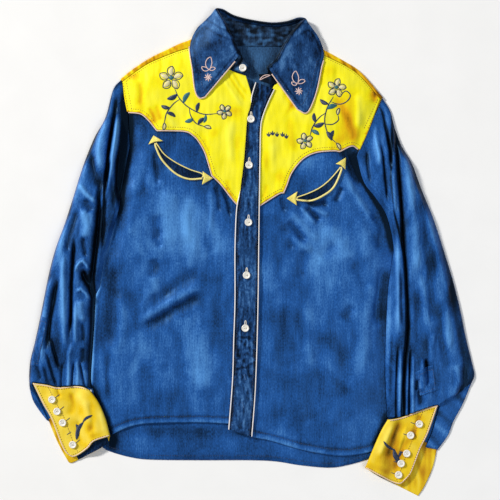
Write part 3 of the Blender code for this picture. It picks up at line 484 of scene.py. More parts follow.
def lie(x, y):
    """Height of the middle of the front cloth: low at the edges, under the cuffs and the hem."""
    edge = least_reach(x, y, RIGHT_SIDE, LEFT_SIDE, RIGHT_FOLD, LEFT_FOLD)
    rise = 1 - np.exp(-(edge / RISE) ** 2)
    quick = 1 - np.exp(-(edge / 9) ** 2)
    hem = least_reach(x, y, RIGHT_HEM, LEFT_HEM)
    loft = LOFT * (1 - 0.6 * np.exp(-(hem / 40) ** 2)) * under_cuffs(x, y, 34)
    creased = 1.35 * folds(x, y, FRONT_FOLDS) + 0.9 * ripple(x, y, (22, 60), 3)
    creased = np.clip(creased, -6.5, 6.5) + 0.3 * ripple(x, y, (7, 22), 5)
    creased = creased + 0.55 * ripple(x, y, (5, 11), 6) * np.exp(-((hem - 7) / 8) ** 2)
    return REST + rise * loft + quick * np.maximum(creased * under_cuffs(x, y, 40),
                                                   -0.85 * rise * loft)


def lifted(flat, level):
    """Grid on the front at a level above the middle of the front cloth."""
    x, y = flat[..., 0], flat[..., 1]
    return np.dstack([x, y, lie(x, y) + level])


def front_shade_wear(flat):
    """Painted light and shade of the fronts, with some wear: painted shade in creases, in the gaps,
    at the sides, under the right yoke and along the yoke edges, and painted highlight on ridges,
    along the right side's edge and in pale patches below the pockets, partly from rubbing."""
    x, y = flat[..., 0], flat[..., 1]
    edge = least_reach(x, y, RIGHT_SIDE, LEFT_SIDE)
    yokes = least_reach(x, y, RIGHT_YOKE, LEFT_YOKE)
    shaded = np.exp(-(reach(x, y, RIGHT_YOKE) / 26) ** 2)
    # pale patches: partly wear from rubbing, partly painted highlight
    light_and_wear = (np.exp(-(((x + 100) / 70) ** 2 + ((y - 20) / 90) ** 2))
              + np.exp(-(((x - 120) / 60) ** 2 + ((y - 10) / 80) ** 2))
              + 0.7 * np.exp(-(((x + 110) / 80) ** 2 + ((y + 170) / 60) ** 2))
              + 0.9 * np.exp(-(((x - 88) / 30) ** 2 + ((y - 142) / 16) ** 2)))
    hem = least_reach(x, y, RIGHT_HEM, LEFT_HEM)
    # painted highlight along the right side's lit edge
    rim = np.exp(-(reach(x, y, RIGHT_SIDE) / 2.2) ** 2) * np.clip((70 - y) / 40, 0, 1)
    rim = rim * np.clip((y + 218) / 12, 0, 1)
    # Painted highlight on fold ridges and painted shade in fold valleys, painted shadow in the
    # gaps, painted shade at the sides, under the right yoke and along the yoke edges; paler at the
    # hem's edge and darker along its stitching.
    return (0.43 + 0.075 * folds(x, y, FRONT_FOLDS) + folds(x, y, GAP_SHADOWS) + 0.2 * light_and_wear
            + 0.7 * rim + 0.05 * ripple(x, y, (12, 30), 7) + 0.16 * np.exp(-(hem / 5) ** 2)
            - 0.20 * np.exp(-((hem - 10) / 2.5) ** 2)
            - 0.14 * np.exp(-(edge / 12) ** 2) - 0.12 * shaded
            - 0.4 * np.exp(-(yokes / 2.6) ** 2))


up = np.array([0, ALLOWANCE])
side = run([(-222, -291), (-236, -262), (-247, -235)]
           + [p for p in RIGHT_SIDE if -220 < p[1] < 222] + [tuple(RIGHT_YOKE[0] + up)],
           FRONT_ROWS)
opening = run([(-7, -275)] + RIGHT_FRONT[::-1][1:-4] + [tuple(RIGHT_YOKE[-1] + up)], FRONT_ROWS)
flat = patch(side, opening, run(RIGHT_HEM, FRONT_COLS),
             shaped(np.array(RIGHT_YOKE, float) + up, YOKE_CORNERS["right"], FRONT_COLS))
front_right = add_cloth("satin_front_right", [lifted(flat, 0)], blue_satin,
                        shade_wears=[front_shade_wear(flat)])

under_yoke = np.vstack([np.array(LEFT_YOKE[:1], float) + (1, 10),
                        np.array(LEFT_YOKE[1:], float) + up])
top = shaped(under_yoke, YOKE_CORNERS["left"], FRONT_COLS)[::-1]
side = run([(198, -314), (206, -298)] + [p for p in LEFT_SIDE if -290 < p[1] < 160]
           + [tuple(top[-1])], FRONT_ROWS)
opening = run(LEFT_FRONT + [tuple(top[0])], FRONT_ROWS)
flat = patch(opening, side, run(LEFT_HEM, FRONT_COLS), top)
front_left = add_cloth("satin_front_left", [lifted(flat, 0)], blue_satin,
                       shade_wears=[front_shade_wear(flat)])
for panel, node, area in ((front_right, "front_right", 0.108), (front_left, "front_left", 0.098)):
    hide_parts(node)

# ---------------------------------------------------------------------------------------
# Back yoke: yellow satin that lies on the floor behind the shoulders and folds forward
# over them to the shoulder seams. Its lining, blue, shows only inside the neck.
YOKE = CLOTH + LAYER    # from the middle of the front cloth to that of the yoke
RIGHT_SEAM = [(-69, 337), (-98, 326), (-121, 319), (-160, 303), (-184, 288), (-205, 272)]
LEFT_SEAM = [(86, 329), (117, 314), (148, 299), (174, 281), (206, 245)]
BACK_NECK = [(-70, 348), (-58, 337), (-42, 329), (-6, 326), (54, 326), (72, 330), (88, 340)]
LINING_LOW = [(-178, 182), (-60, 174), (0, 160), (60, 172), (158, 176)]
LINING_HIGH = [(-186, 268), (-150, 292), (-96, 318), (-62, 334), (-42, 333), (-6, 333),
               (54, 333), (76, 332), (110, 308), (150, 284), (186, 250)]
INSIDE_FOLDS = [
    (-0.7, 5, 8, [(-20, 322), (-26, 290), (-20, 250)]),
    (0.8, 6, 6, [(16, 322), (12, 296), (18, 262)]),
    (-0.6, 6, 5, [(44, 322), (40, 300), (46, 276)]),
]
# Yellow satin colours: painted dark amber shade, deep, body, and the pale of wear and painted
# highlight.
yellow_satin = satin("yellow rayon satin", "#7C4C06", "#E2A412", "#FCF018", "#FFFF60", 0.42, 0.26)

shoulder, neck, depth = 44, 40, 36
lift = np.array([0, 1.3])
low = run(back_seam + lift, 2 * shoulder + neck, False)
right_fold, left_fold = run(RIGHT_FOLD[::-1], shoulder), run(LEFT_FOLD, shoulder)
high = np.vstack([right_fold, run(BACK_NECK, neck)[1:-1], left_fold])
inward = np.array([0, 300.0]) - high
inset = high + 1.6 * inward / np.linalg.norm(inward, axis=1)[:, None]
first = run([tuple(right_edge[-1] + lift)] + [p for p in RIGHT_SIDE if p[1] > 180], depth)
last = run([tuple(left_edge[-1] + lift)] + [p for p in LEFT_SIDE if p[1] > 170], depth)
inset[0], inset[-1] = first[-1] + (0.5, -2.0), last[-1] + (-1.0, -2.0)
first = run(np.vstack([first[:-1], inset[:1]]), depth)
last = run(np.vstack([last[:-1], inset[-1:]]), depth)
flat = patch(first, last, low, inset)
lying = np.dstack([flat, np.full(flat.shape[:2], BACK)])[:, ::-1]
grids = [lying]
shade_wears = [np.full(lying.shape[:2], 0.4)]
for fold, seam_line, start in ((right_fold, RIGHT_SEAM[::-1], 0),
                               (left_fold, LEFT_SEAM, shoulder + neck - 1)):
    sewn = run(seam_line, shoulder)
    away = fold - sewn
    sewn = sewn + away / np.linalg.norm(away, axis=1)[:, None] * 0.8
    turn = lie(sewn[:, 0], sewn[:, 1]) + YOKE
    inner = inset[start:start + shoulder + 1]
    rows = [np.column_stack([inner, np.full(len(inner), BACK)])]
    for quarter in (30, 60):
        angle = math.radians(quarter)
        rows.append(np.column_stack([inner + (fold - inner) * math.sin(angle),
                                     BACK + (turn - BACK) * 0.5 * (1 - math.cos(angle))]))
    for share in (0, 0.03, 0.07, 0.13, 0.2, 0.3, 0.42, 0.55, 0.7, 0.85, 1.0):
        height = 1 - 0.5 * math.exp(-share / 0.07)
        rows.append(np.column_stack([fold + (sewn - fold) * share,
                                     BACK + (turn - BACK) * height]))
    strip = np.stack(rows)[:, ::-1]
    grids.append(strip)
    # the strip that turns over each shoulder is darker: painted shade, mottled
    shade_wears.append(0.24 + 0.22 * ripple(strip[..., 0] + 0.6 * strip[..., 1], strip[..., 1],
                                      (7, 24), 8))
back_yoke = add_cloth("satin_back_yoke", grids, yellow_satin, shade_wears=shade_wears)
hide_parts("back_yoke")

low, high = run(LINING_LOW, 72), run(LINING_HIGH, 72)
flat = patch(run([low[0], (-180, 230), high[0]], 30), run([low[-1], (168, 205), high[-1]], 30),
             low, high)
x, y = flat[..., 0], flat[..., 1]
creased = folds(x, y, INSIDE_FOLDS)
# Lining satin colours: painted black shade, deep, body, and the pale of wear and painted highlight.
washed_satin = satin("washed lining satin", "#06090E", "#1C2F49", "#37618F", "#7396BE", 0.45, 0.8)
# painted highlight on the crease ridges of the lining, painted shade in their valleys
lining = add_cloth("satin_back_yoke_lining",
                   [np.dstack([flat, REST + 0.25 + np.clip(creased, -0.2, 0.7)])], washed_satin,
                   shade_wears=[0.33 + 0.12 * creased])
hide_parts("back_yoke_lining")

# ---------------------------------------------------------------------------------------
# Front yokes: yellow satin, each with a swept lower edge that comes to a long point at the
# opening. They are laid over the fronts and sewn down along that edge.
RIGHT_NECK = [(-69, 337), (-64, 322), (-54, 307), (-40, 295), (-26, 287), (-8, 281)]
LEFT_NECK = [(86, 329), (80, 311), (70, 294), (56, 279), (37, 266)]
YOKE_FOLDS = [  # height, half width west and east, points from the top down
    (-1.8, 2.6, 3.6, [(-163, 232), (-157, 220), (-151, 204)]),
    (-1.4, 2.6, 3.6, [(-152, 236), (-147, 222), (-143, 208)]),
    (1.2, 4, 5, [(-134, 226), (-128, 210), (-118, 199)]),
    (-1.4, 5, 4, [(-178, 274), (-174, 252), (-178, 232)]),
    (-1.5, 3, 5, [(-40, 118), (-36, 100), (-26, 84)]),
    (-1.0, 5, 6, [(-84, 200), (-74, 178), (-64, 150)]),
    (1.2, 6, 6, [(-30, 216), (-34, 180), (-32, 140)]),
    (-1.8, 2.0, 3.0, [(-40, 288), (-24, 264), (-6, 238)]),
    (-1.6, 2.0, 3.0, [(-31, 290), (-16, 266), (-4, 250)]),
    (1.2, 3, 3, [(-44, 276), (-28, 252), (-14, 232)]),
    (-0.8, 14, 6, [(-60, 236), (-34, 227), (-8, 226)]),
    (-2.2, 7, 9, [(128, 250), (143, 232), (155, 212), (163, 188), (163, 168)]),
    (1.8, 6, 6, [(170, 256), (173, 226), (170, 196)]),
    (-1.6, 4, 5, [(196, 270), (198, 254), (196, 236)]),
    (-1.2, 5, 5, [(112, 300), (110, 280), (116, 262)]),
    (-1.2, 3, 5, [(24, 110), (22, 96), (16, 84)]),
    (1.0, 6, 6, [(36, 176), (34, 150), (38, 122)]),
    (-0.9, 6, 6, [(60, 220), (64, 180), (74, 156)]),
    (-1.6, 3, 4, [(52, 254), (62, 238), (72, 224)]),
    (-1.3, 4, 4, [(-150, 316), (-142, 296), (-146, 280)]),
]
YOKE_SHADES = [     # depth of painted amber shade, centre, half width and half height, lean in degrees
    (0.30, -188, 281, 9, 6, 20), (0.17, -144, 273, 15, 12, -30), (0.16, -150, 214, 12, 14, 20),
    (0.08, -34, 225, 22, 7, 10), (0.16, -59, 190, 9, 7, 30), (0.12, -90, 211, 12, 6, 0),
    (0.14, -22, 168, 5, 30, 0), (0.16, -176, 238, 6, 18, 0), (0.24, 154, 212, 15, 34, -14),
    (0.18, 140, 178, 22, 9, 15), (0.42, 198, 256, 8, 13, -30), (0.28, 66, 236, 4, 17, -32),
    (0.12, 96, 196, 16, 12, 0), (0.14, 24, 150, 5, 30, 0), (0.14, 128, 290, 10, 8, 20),
    (0.16, 46, 120, 8, 10, 0),
]


def yoke_level(x, y):
    """Height of the middle of a yoke, which has small creases of its own inside its edges."""
    edge = least_reach(x, y, RIGHT_YOKE, LEFT_YOKE, RIGHT_SEAM, LEFT_SEAM)
    free = 1 - np.exp(-(edge / 8) ** 2)
    small = np.clip(folds(x, y, YOKE_FOLDS) + 0.3 * ripple(x, y, (14, 26), 9), -2.0, 2.0)
    return lie(x, y) + YOKE + free * np.where(small > 0, small, 0.5 * small)


def on_yoke(flat):
    """Grid of a yoke's plan lifted to its height."""
    return np.dstack([flat, yoke_level(flat[..., 0], flat[..., 1])])


def painted_ovals(shade_wear, x, y, shades):
    """Painted amber shade laid over a shade value in leaning ovals that are soft at the edge;
    a depth below 0 paints a highlight.
    """
    for depth, cx, cy, wide, tall, lean in shades:
        c, d = math.cos(math.radians(lean)), math.sin(math.radians(lean))
        across, along = (x - cx) * c + (y - cy) * d, (y - cy) * c - (x - cx) * d
        shade_wear = shade_wear - depth * np.exp(-(across / wide) ** 2 - (along / tall) ** 2)
    return shade_wear


def yoke_shade_wear(flat):
    """Painted amber shade in the creases, beside the seams, in spots where the seams pucker and
    in soft ovals, with painted highlight on the crease ridges and a little uneven tone.
    """
    x, y = flat[..., 0], flat[..., 1]
    seams = least_reach(x, y, RIGHT_YOKE, LEFT_YOKE, RIGHT_SIDE[-4:], LEFT_SIDE[-4:])
    pucker_shade = np.clip(ripple(x, y, (7, 4), 12), 0, 1) * np.exp(-(seams / 6) ** 2)
    shade_wear = 0.58 + 0.12 * folds(x, y, YOKE_FOLDS) - 0.22 * pucker_shade - 0.2 * np.exp(-(seams / 2) ** 2)
    return painted_ovals(shade_wear, x, y, YOKE_SHADES) + 0.05 * ripple(x, y, (26, 26), 13)


YOKE_ROWS, SEAM_COLS, NECK_COLS = 84, 90, 50
YOKE_COLS = SEAM_COLS + NECK_COLS
low = shaped(RIGHT_YOKE, YOKE_CORNERS["right"], YOKE_COLS)
high = np.vstack([run(RIGHT_SEAM[::-1], SEAM_COLS), run(RIGHT_NECK, NECK_COLS)[1:]])
armhole = run([tuple(low[0])] + [p for p in RIGHT_SIDE if 225 < p[1] < 270]
              + [tuple(high[0])], YOKE_ROWS)
flat_right = patch(armhole, run(RIGHT_FRONT[:5][::-1], YOKE_ROWS), low, high)
yoke_right = add_cloth("satin_yoke_right", [on_yoke(flat_right)], yellow_satin,
                       shade_wears=[yoke_shade_wear(flat_right)])
low = shaped(LEFT_YOKE, YOKE_CORNERS["left"], YOKE_COLS)[::-1]
high = np.vstack([run(LEFT_NECK[::-1], NECK_COLS), run(LEFT_SEAM, SEAM_COLS)[1:]])
opening = run([tuple(low[0]), (10, 84), (10, 148), (11, 196), (14, 215), (23, 239),
               tuple(high[0])], YOKE_ROWS)
flat_left = patch(opening, run([tuple(low[-1]), (189, 198), tuple(high[-1])], YOKE_ROWS),
                  low, high)
yoke_left = add_cloth("satin_yoke_left", [on_yoke(flat_left)], yellow_satin,
                      shade_wears=[yoke_shade_wear(flat_left)])
for panel, side, area in ((yoke_right, "right", 0.031), (yoke_left, "left", 0.028)):
    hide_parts(f"yoke_front_{side}")

# ---------------------------------------------------------------------------------------
# Piping of the yokes: a thin cord covered with peach satin, caught in the seam so that it
# stands up along the yoke's swept lower edge.
CORD = 2.0              # width of the piping that shows
SEAM = 0.3              # space between sewn pieces


def beside(line, sign):
    """Unit vectors across a line, to its left for sign 1."""
    along = np.gradient(line[:, :2], axis=0)
    across = np.stack([-along[:, 1], along[:, 0]], axis=1) * sign
    return across / np.linalg.norm(across, axis=1)[:, None]


def ring_faces(rings, sides):
    """Quads between rings of points that follow one another, and a cap at either end."""
    n = np.arange(rings * sides).reshape(rings, sides)
    following = np.roll(n, -1, axis=1)
    quads = np.stack([n[:-1], following[:-1], following[1:], n[1:]], axis=-1).reshape(-1, 4)
    return [*map(tuple, quads), tuple(n[0, ::-1]), tuple(n[-1])]


def tube(line, radius, sides=8, flatten=1.0):
    """Points, faces and pattern coordinates of a round cord along a line; the radius may
    differ from point to point, and the cord may be flattened from above."""
    line = np.array(line, float)
    along = np.gradient(line, axis=0)
    along /= np.linalg.norm(along, axis=1)[:, None]
    across = np.cross(along, (0, 0, 1.0))
    across /= np.linalg.norm(across, axis=1)[:, None] + 1e-9
    above = np.cross(across, along)
    radius = np.broadcast_to(radius, len(line))[:, None, None]
    turn = np.linspace(0, 2 * math.pi, sides, endpoint=False)[None, :, None]
    rings = line[:, None] + radius * (np.cos(turn) * across[:, None]
                                      + flatten * np.sin(turn) * above[:, None])
    length = np.concatenate([[0], np.cumsum(np.linalg.norm(np.diff(line, axis=0), axis=1))])
    around = 2 * math.pi * float(np.mean(radius)) * np.arange(sides) / sides
    pattern = np.stack(np.broadcast_arrays(around[None, :], length[:, None]), axis=-1)
    return rings.reshape(-1, 3), ring_faces(len(line), sides), pattern.reshape(-1, 2)


def add_cords(name, cords, material):
    """One piece from several cords."""
    points, faces, patterns, start = [], [], [], 0
    for cord_points, cord_faces, pattern in cords:
        points.append(cord_points)
        patterns.append(pattern)
        faces += [tuple(v + start for v in face) for face in cord_faces]
        start += len(cord_points)
    return add_piece(name, np.vstack(points), faces, material, np.vstack(patterns))


def ribbed(material, shader, wave, turn, stops, strength, depth):
    """Colour and relief of even ridges: the wave's settings, its turn on the pattern in degrees,
    its colours from the painted shade of the furrow to the crest, and the strength of its bump
    and the depth in mm."""
    place = add_node(material, "ShaderNodeUVMap", {"uv_map": "cut"})
    slant = add_node(material, "ShaderNodeMapping", {"Rotation": (0, 0, math.radians(turn))},
                     {"Vector": (place, "UV")})
    ridges = add_node(material, "ShaderNodeTexWave", wave, {"Vector": (slant, "Vector")})
    tone = add_node(material, "ShaderNodeValToRGB", {}, {"Fac": (ridges, "Fac")}, stops)
    join(material, tone, "Color", shader, "Base Color")
    bump = add_node(material, "ShaderNodeBump", {"Strength": strength, "Distance": depth * MM},
                    {"Height": (ridges, "Fac")})
    join(material, bump, "Normal", shader, "Normal")


def bias_piping(name, main, shade):
    """Bias strip of satin round a cotton cord: soft gloss, slanting wrinkles every 1.5 mm."""
    material, shader = new_material(name, 0.5, Sheen_Weight=0.2, Sheen_Roughness=0.4)
    ribbed(material, shader, {"Scale": 210.0, "Distortion": 2.5, "Detail": 2.0}, 38,
           [(0.0, shade), (0.7, main)], 0.6, 0.2)
    return material


peach_piping = bias_piping("peach bias piping", "#FBE4D6", "#CFA48E")
cream_piping = bias_piping("cream bias piping", "#FFFFFF", "#E9DEDC")


def on_surface(line, level):
    """A line of points lifted to a height function."""
    return np.column_stack([line[:, :2], level(line[:, 0], line[:, 1])])


def beside_yoke(x, y):
    """Height of the middle of the piping along a yoke."""
    return lie(x, y) + YOKE - 0.2


for side, edge in (("right", shaped(RIGHT_YOKE, YOKE_CORNERS["right"], 220)[2:]),
                   ("left", shaped(LEFT_YOKE, YOKE_CORNERS["left"], 220)[::-1][:-3])):
    route = edge + beside(edge, -1) * (SEAM + CORD / 2)
    piping = add_cords(f"piping_of_yoke_{side}",
                       [tube(on_surface(route, beside_yoke), CORD / 2, 8)], peach_piping)
    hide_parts(f"piping_yoke_{side}")

# ---------------------------------------------------------------------------------------
# Placket band: a folded, interfaced strip of navy satin down the closed opening, with cream
# piping along both edges, five satin-stitched buttonholes and five shirt buttons.
DOUBLE = 1.6            # wall of a folded, interfaced piece
DOUBLE_WALL = DOUBLE * 0.8      # what is drawn of it
BAND_CORD = CORD * 0.46         # radius of the band's finer piping
BAND_ROWS, BAND_COLS = 260, 40
BAND = YOKE + CLOTH / 2 + LAYER + DOUBLE / 2    # from the front cloth to the band's middle
BAND_FREE = [(9, 270), (3, 250), (-2, 228), (-6, 212), (-11, 148), (-18, 92), (-22, 62),
             (-24, 4), (-24, -76), (-26, -140), (-28, -204), (-34, -282)]
BAND_SEWN = [(36, 260), (26, 239), (17, 215), (14, 196), (13, 148), (12, 84), (11, 4),
             (10, -76), (8, -156), (5, -228), (0, -293)]
FRONT_BUTTONS = [(0, 212), (-3, 139), (-4, 48), (-7, -36), (-9, -120)]
BUTTON = 6.0            # radius of a 12 mm shirt button
BUTTON_PROFILE = [      # radius and height, from the middle of the back round to that of the face
    (0.2, 0.0), (4.9, 0.0), (5.6, 0.35), (6.0, 0.95), (5.9, 1.5), (5.5, 2.0), (5.1, 2.2),
    (4.7, 2.1), (4.2, 1.8), (3.7, 1.55), (3.2, 1.45), (2.7, 1.4), (2.2, 1.4), (1.7, 1.4),
    (1.2, 1.4), (0.7, 1.4), (0.2, 1.4)]
BUTTON_SIDES = 32
HOLE_AT = 1.25          # from the button's middle lines to its holes
BUTTONHOLE = (13.0, 2.6)        # length and width of the stitching round one
# Navy satin colours: painted black shade, deep, body, and the pale of wear and painted highlight.
navy_satin = satin("navy rayon satin", "#020409", "#0D1E3C", "#234A80", "#5E92CA", 0.42, 1.0)


def on_band(x, y):
    """Height of the middle of the band."""
    return lie(x, y) + BAND


def shirt_plastic():
    """Moulded urea plastic with a pearl filler: smooth, slightly clear, with pale clouds."""
    material, shader = new_material("pearly urea plastic", 0.22, IOR=1.54, Coat_Weight=0.35,
                                    Coat_Roughness=0.12)
    grain = add_node(material, "ShaderNodeTexNoise",
                     {"Scale": 320.0, "Detail": 2.0, "Distortion": 1.8})
    tone = add_node(material, "ShaderNodeValToRGB", {}, {"Fac": (grain, "Fac")},
                    [(0.3, "#E6E2D6"), (0.62, "#FBF9F2")])
    join(material, tone, "Color", shader, "Base Color")
    return material


def sewing_thread(name, main, shade):
    """Twisted sewing thread: two plies that turn round each other every 1.2 mm."""
    material, shader = new_material(name, 0.6, Sheen_Weight=0.25)
    ribbed(material, shader, {"Scale": 260.0, "Distortion": 0.4}, 30,
           [(0.0, shade), (0.6, main)], 0.5, 0.1)
    return material


pearly_plastic = shirt_plastic()
white_thread = sewing_thread("white cotton thread", "#EFE9DC", "#BDB4A2")


def add_button(name, node, x, y, level):
    """Four-hole shirt button: a turned rim round a dished middle, sewn on with two bars."""
    turns = np.linspace(0, 2 * math.pi, BUTTON_SIDES, endpoint=False)
    ring = np.array([(x + BUTTON * math.cos(a), y + BUTTON * math.sin(a)) for a in turns])
    base = max(level(ring[:, 0], ring[:, 1]).max(), float(level(np.array([x]), np.array([y]))[0]))
    base += DOUBLE / 2 + 2 * SEAM
    points = np.array([[x + r * math.cos(a), y + r * math.sin(a), base + z]
                       for r, z in BUTTON_PROFILE for a in turns])
    holes = [(x + dx * HOLE_AT, y + dy * HOLE_AT) for dx in (-1, 1) for dy in (-1, 1)]
    for hx, hy in holes:
        near = np.hypot(points[:, 0] - hx, points[:, 1] - hy)
        points[:, 2] -= np.where(points[:, 2] > base + 1.3, 1.1 * np.exp(-(near / 0.65) ** 2), 0)
    button = add_piece(name, points, ring_faces(len(BUTTON_PROFILE), BUTTON_SIDES),
                       pearly_plastic)
    bars = []
    for dx in (-1, 1):
        bar = [(x + dx * HOLE_AT, y + t * 1.35, base + 1.75 - 0.9 * abs(t) ** 3)
               for t in np.linspace(-1, 1, 7)]
        bars.append(tube(bar, 0.42, 6))
    add_cords(f"{name}_thread", bars, white_thread)
    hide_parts(node)


free, sewn = run(BAND_FREE[::-1], BAND_ROWS), run(BAND_SEWN[::-1], BAND_ROWS)
flat = patch(free, sewn, run([free[0], sewn[0]], BAND_COLS), run([free[-1], sewn[-1]], BAND_COLS))
x, y = flat[..., 0], flat[..., 1]
w = np.linspace(0, 1, flat.shape[1])[None, :]
crown = 0.5 * np.sin(math.pi * w) + 0.25 * ripple(x, y, (9, 22), 20) * np.sin(math.pi * w)
lapel_shadow = np.clip((y - 84) / 40, 0, 1) * np.clip((268 - y) / 10, 0, 1)
# Painted light and tone of the band: uneven tone, painted shadow along the free edge where the top
# stands open, darker towards the top, painted shade along both long edges, and spots of painted
# shade and highlight where the lower band is crumpled.
shade_wear = 0.44 + 0.16 * ripple(x, y, (4, 22), 21) - 0.6 * lapel_shadow * np.exp(-(w / 0.22) ** 2)
shade_wear = shade_wear - 0.3 * np.clip((y - 205) / 30, 0, 1) * (0.6 + 0.5 * ripple(x, y, (5, 12), 22))
shade_wear = shade_wear - 0.55 * (np.exp(-(w / 0.06) ** 2) + np.exp(-((1 - w) / 0.06) ** 2))
light_and_wear = np.clip((-112 - y) / 20, 0, 1) * np.clip((y + 225) / 40, 0, 1)
shade_wear = shade_wear - light_and_wear * 0.7 * np.clip(ripple(x, y, (8, 6), 23) - 0.2, 0, 0.5)
shade_wear = shade_wear + light_and_wear * 0.4 * np.clip(ripple(x, y, (4, 7), 24) - 0.2, 0, 0.5)
shade_wear = shade_wear + 0.10 * ripple(x, y, (3.2, 5), 25)
band = add_cloth("satin_placket_band", [lifted(flat, BAND) + np.dstack([x * 0, x * 0, crown])],
                 navy_satin, DOUBLE_WALL, shade_wears=[shade_wear])
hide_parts("placket_band")
for side, edge, turn in (("free", free, 1), ("sewn", sewn, -1)):
    tucked = np.clip((edge[:, 1] - 80) / 25, 0, 1) * np.clip((246 - edge[:, 1]) / 10, 0, 1)
    tucked = tucked * 2.6 if side == "free" else tucked * 0
    route = edge + beside(edge, turn) * (SEAM + CORD / 2 - tucked)[:, None]
    piping = add_cords(f"piping_of_band_{side}",
                       [tube(on_surface(route, on_band) - np.outer(tucked, (0, 0, 0.6)),
                             BAND_CORD, 8)], cream_piping)
    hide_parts(f"piping_band_{side}")
holes = []
for number, (x, y) in enumerate(FRONT_BUTTONS, 1):
    add_button(f"front_button_{number}", f"button_front_{number}", x, y, on_band)
    long, wide = BUTTONHOLE[0] / 2, BUTTONHOLE[1] / 2
    turn = np.linspace(0, 2 * math.pi, 33)
    loop = np.column_stack([x + 0.3 + wide * np.sign(np.cos(turn)) * np.abs(np.cos(turn)) ** 0.7,
                            y + 5.2 + long * np.sin(turn)])
    holes.append(tube(on_surface(loop, lambda a, b: on_band(a, b) + 1.2), 0.7, 6, 0.7))
stitching = add_cords("buttonhole_stitching", holes, white_thread)

# ---------------------------------------------------------------------------------------
# Smile pockets: a curved navy mouth set into each front between two pale yellow pipings,
# with an arrowhead in close satin stitch at either end to bear the strain.
POCKETS = {  # mouth edges and the tips and bases of the arrowheads, side end first
    "right": {"upper": [(-149, 171), (-138, 156), (-120, 143), (-98, 132), (-78, 125)],
              "lower": [(-151, 168), (-142, 149), (-127, 132), (-113, 122), (-97, 117),
                        (-79, 118)],
              "outer": [(-155, 186), (-163, 172), (-140, 177)],
              "inner": [(-61, 118), (-77, 129), (-78, 108)]},
    "left": {"upper": [(140, 132), (125, 115), (110, 103), (92, 94), (75, 88)],
             "lower": [(143, 130), (131, 104), (113, 90), (95, 83), (75, 84)],
             "outer": [(151, 151), (135, 141), (150, 132)],
             "inner": [(57, 86), (74, 97), (73, 75)]},
}
yellow_piping = bias_piping("pale yellow bias piping", "#FFF6A4", "#E6CC62")


def silk_stitch(name, main, shade):
    """Close satin stitch in rayon floss: threads 0.4 mm apart, drawn at 0.9 mm to show."""
    material, shader = new_material(name, 0.42, Sheen_Weight=0.2, Anisotropic=0.4)
    ribbed(material, shader, {"Scale": 350.0, "Distortion": 0.8, "bands_direction": "Y"}, 0,
           [(0.0, shade), (0.55, main)], 0.7, 0.2)
    return material


yellow_floss = silk_stitch("pale yellow rayon floss", "#FFF47C", "#E8C84C")


def on_pocket(x, y):
    """Height from which a pocket's piping and arrowheads rise."""
    return lie(x, y) + YOKE + 0.3


def add_arrowhead(name, node, tip, one, two):
    """Padded arrowhead with a notched base, highest along its middle line."""
    if np.cross(one - tip, two - tip) < 0:
        one, two = two, one
    notch = (one + two) / 2 + (tip - (one + two) / 2) * 0.14
    grids, shade_wears, patterns = [], [], []
    for outer, flip in ((one, False), (two, True)):
        s = np.linspace(0, 1, 13)[:, None, None]
        w = np.linspace(0, 1, 9)[None, :, None]
        middle, edge = tip + (notch - tip) * s, tip + (outer - tip) * s
        grid = middle + (edge - middle) * w
        swell = (0.5 + 1.4 * (1 - w[..., 0] ** 2) * np.sqrt(np.clip(s[..., 0], 0, 1)))
        z = on_pocket(grid[..., 0], grid[..., 1]) + 0.2 + swell * (1 - 0.35 * (s[..., 0] > 0.95))
        solid = np.dstack([grid, z])
        skirt = solid[:, -1:].copy()
        skirt[..., 2] -= 1.0
        solid = np.concatenate([solid, skirt], axis=1)
        grids.append(solid if flip else solid[:, ::-1])
        place = np.dstack([s[..., 0] * 12 + 0 * w[..., 0], s[..., 0] * 12 + w[..., 0] * 7])
        place = np.concatenate([place, place[:, -1:]], axis=1)
        patterns.append(place if flip else place[:, ::-1])
    head = add_cloth(name, grids, yellow_floss, 0.5, patterns=patterns)
    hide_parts(node)


for side, rows in POCKETS.items():
    bases = [np.mean(rows[end][1:], axis=0) for end in ("outer", "inner")]
    upper, lower = (run([tuple(bases[0] + 0.12 * (np.array(rows[key][0]) - bases[0]))]
                        + rows[key]
                        + [tuple(bases[1] + 0.12 * (np.array(rows[key][-1]) - bases[1]))], 64)
                    for key in ("upper", "lower"))
    if upper[0, 0] > upper[-1, 0]:
        upper, lower = upper[::-1], lower[::-1]
    mouth = np.stack([lower + (upper - lower) * share for share in np.linspace(0.05, 0.95, 9)])
    welt = lifted(mouth[:, 3:-3], YOKE - 0.1)
    welt[..., 2] -= 0.5 * np.sin(np.linspace(0, math.pi, 9))[:, None]
    welt = add_cloth(f"pocket_mouth_{side}", [welt], navy_satin, shade_wears=[welt[..., 2] * 0 + 0.2])
    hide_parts(f"pocket_{side}_welt")
    for edge, line, turn, radius in (("upper", upper, 1, 0.95), ("lower", lower, -1, 1.6)):
        route = line + beside(line, turn) * 0.4
        piping = add_cords(f"pocket_{edge}_piping_{side}",
                           [tube(on_surface(route, lambda a, b: on_pocket(a, b) + 0.5), radius)],
                           yellow_piping)
        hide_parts(f"pocket_{side}_{edge}")
    for end in ("outer", "inner"):
        add_arrowhead(f"pocket_arrowhead_{side}_{end}", f"pocket_{side}_arrow_{end}",
                      *(np.array(p, float) for p in rows[end]))

# ---------------------------------------------------------------------------------------
# Topstitching of the body: rows of lockstitch in cotton thread that hold the yokes, the band
# and the narrow turned hems. Real stitches are 2.5 mm long; these are 3 mm, to show.
STITCH, GAP = 3.0, 0.8
THREAD = 0.42           # radius of a drawn stitch
amber_thread = sewing_thread("amber cotton thread", "#A06C16", "#5E3A06")
blue_thread = sewing_thread("dark blue cotton thread", "#16305F", "#070F22")
ON_TOP = WALL / 2       # from the middle of a cloth to its face


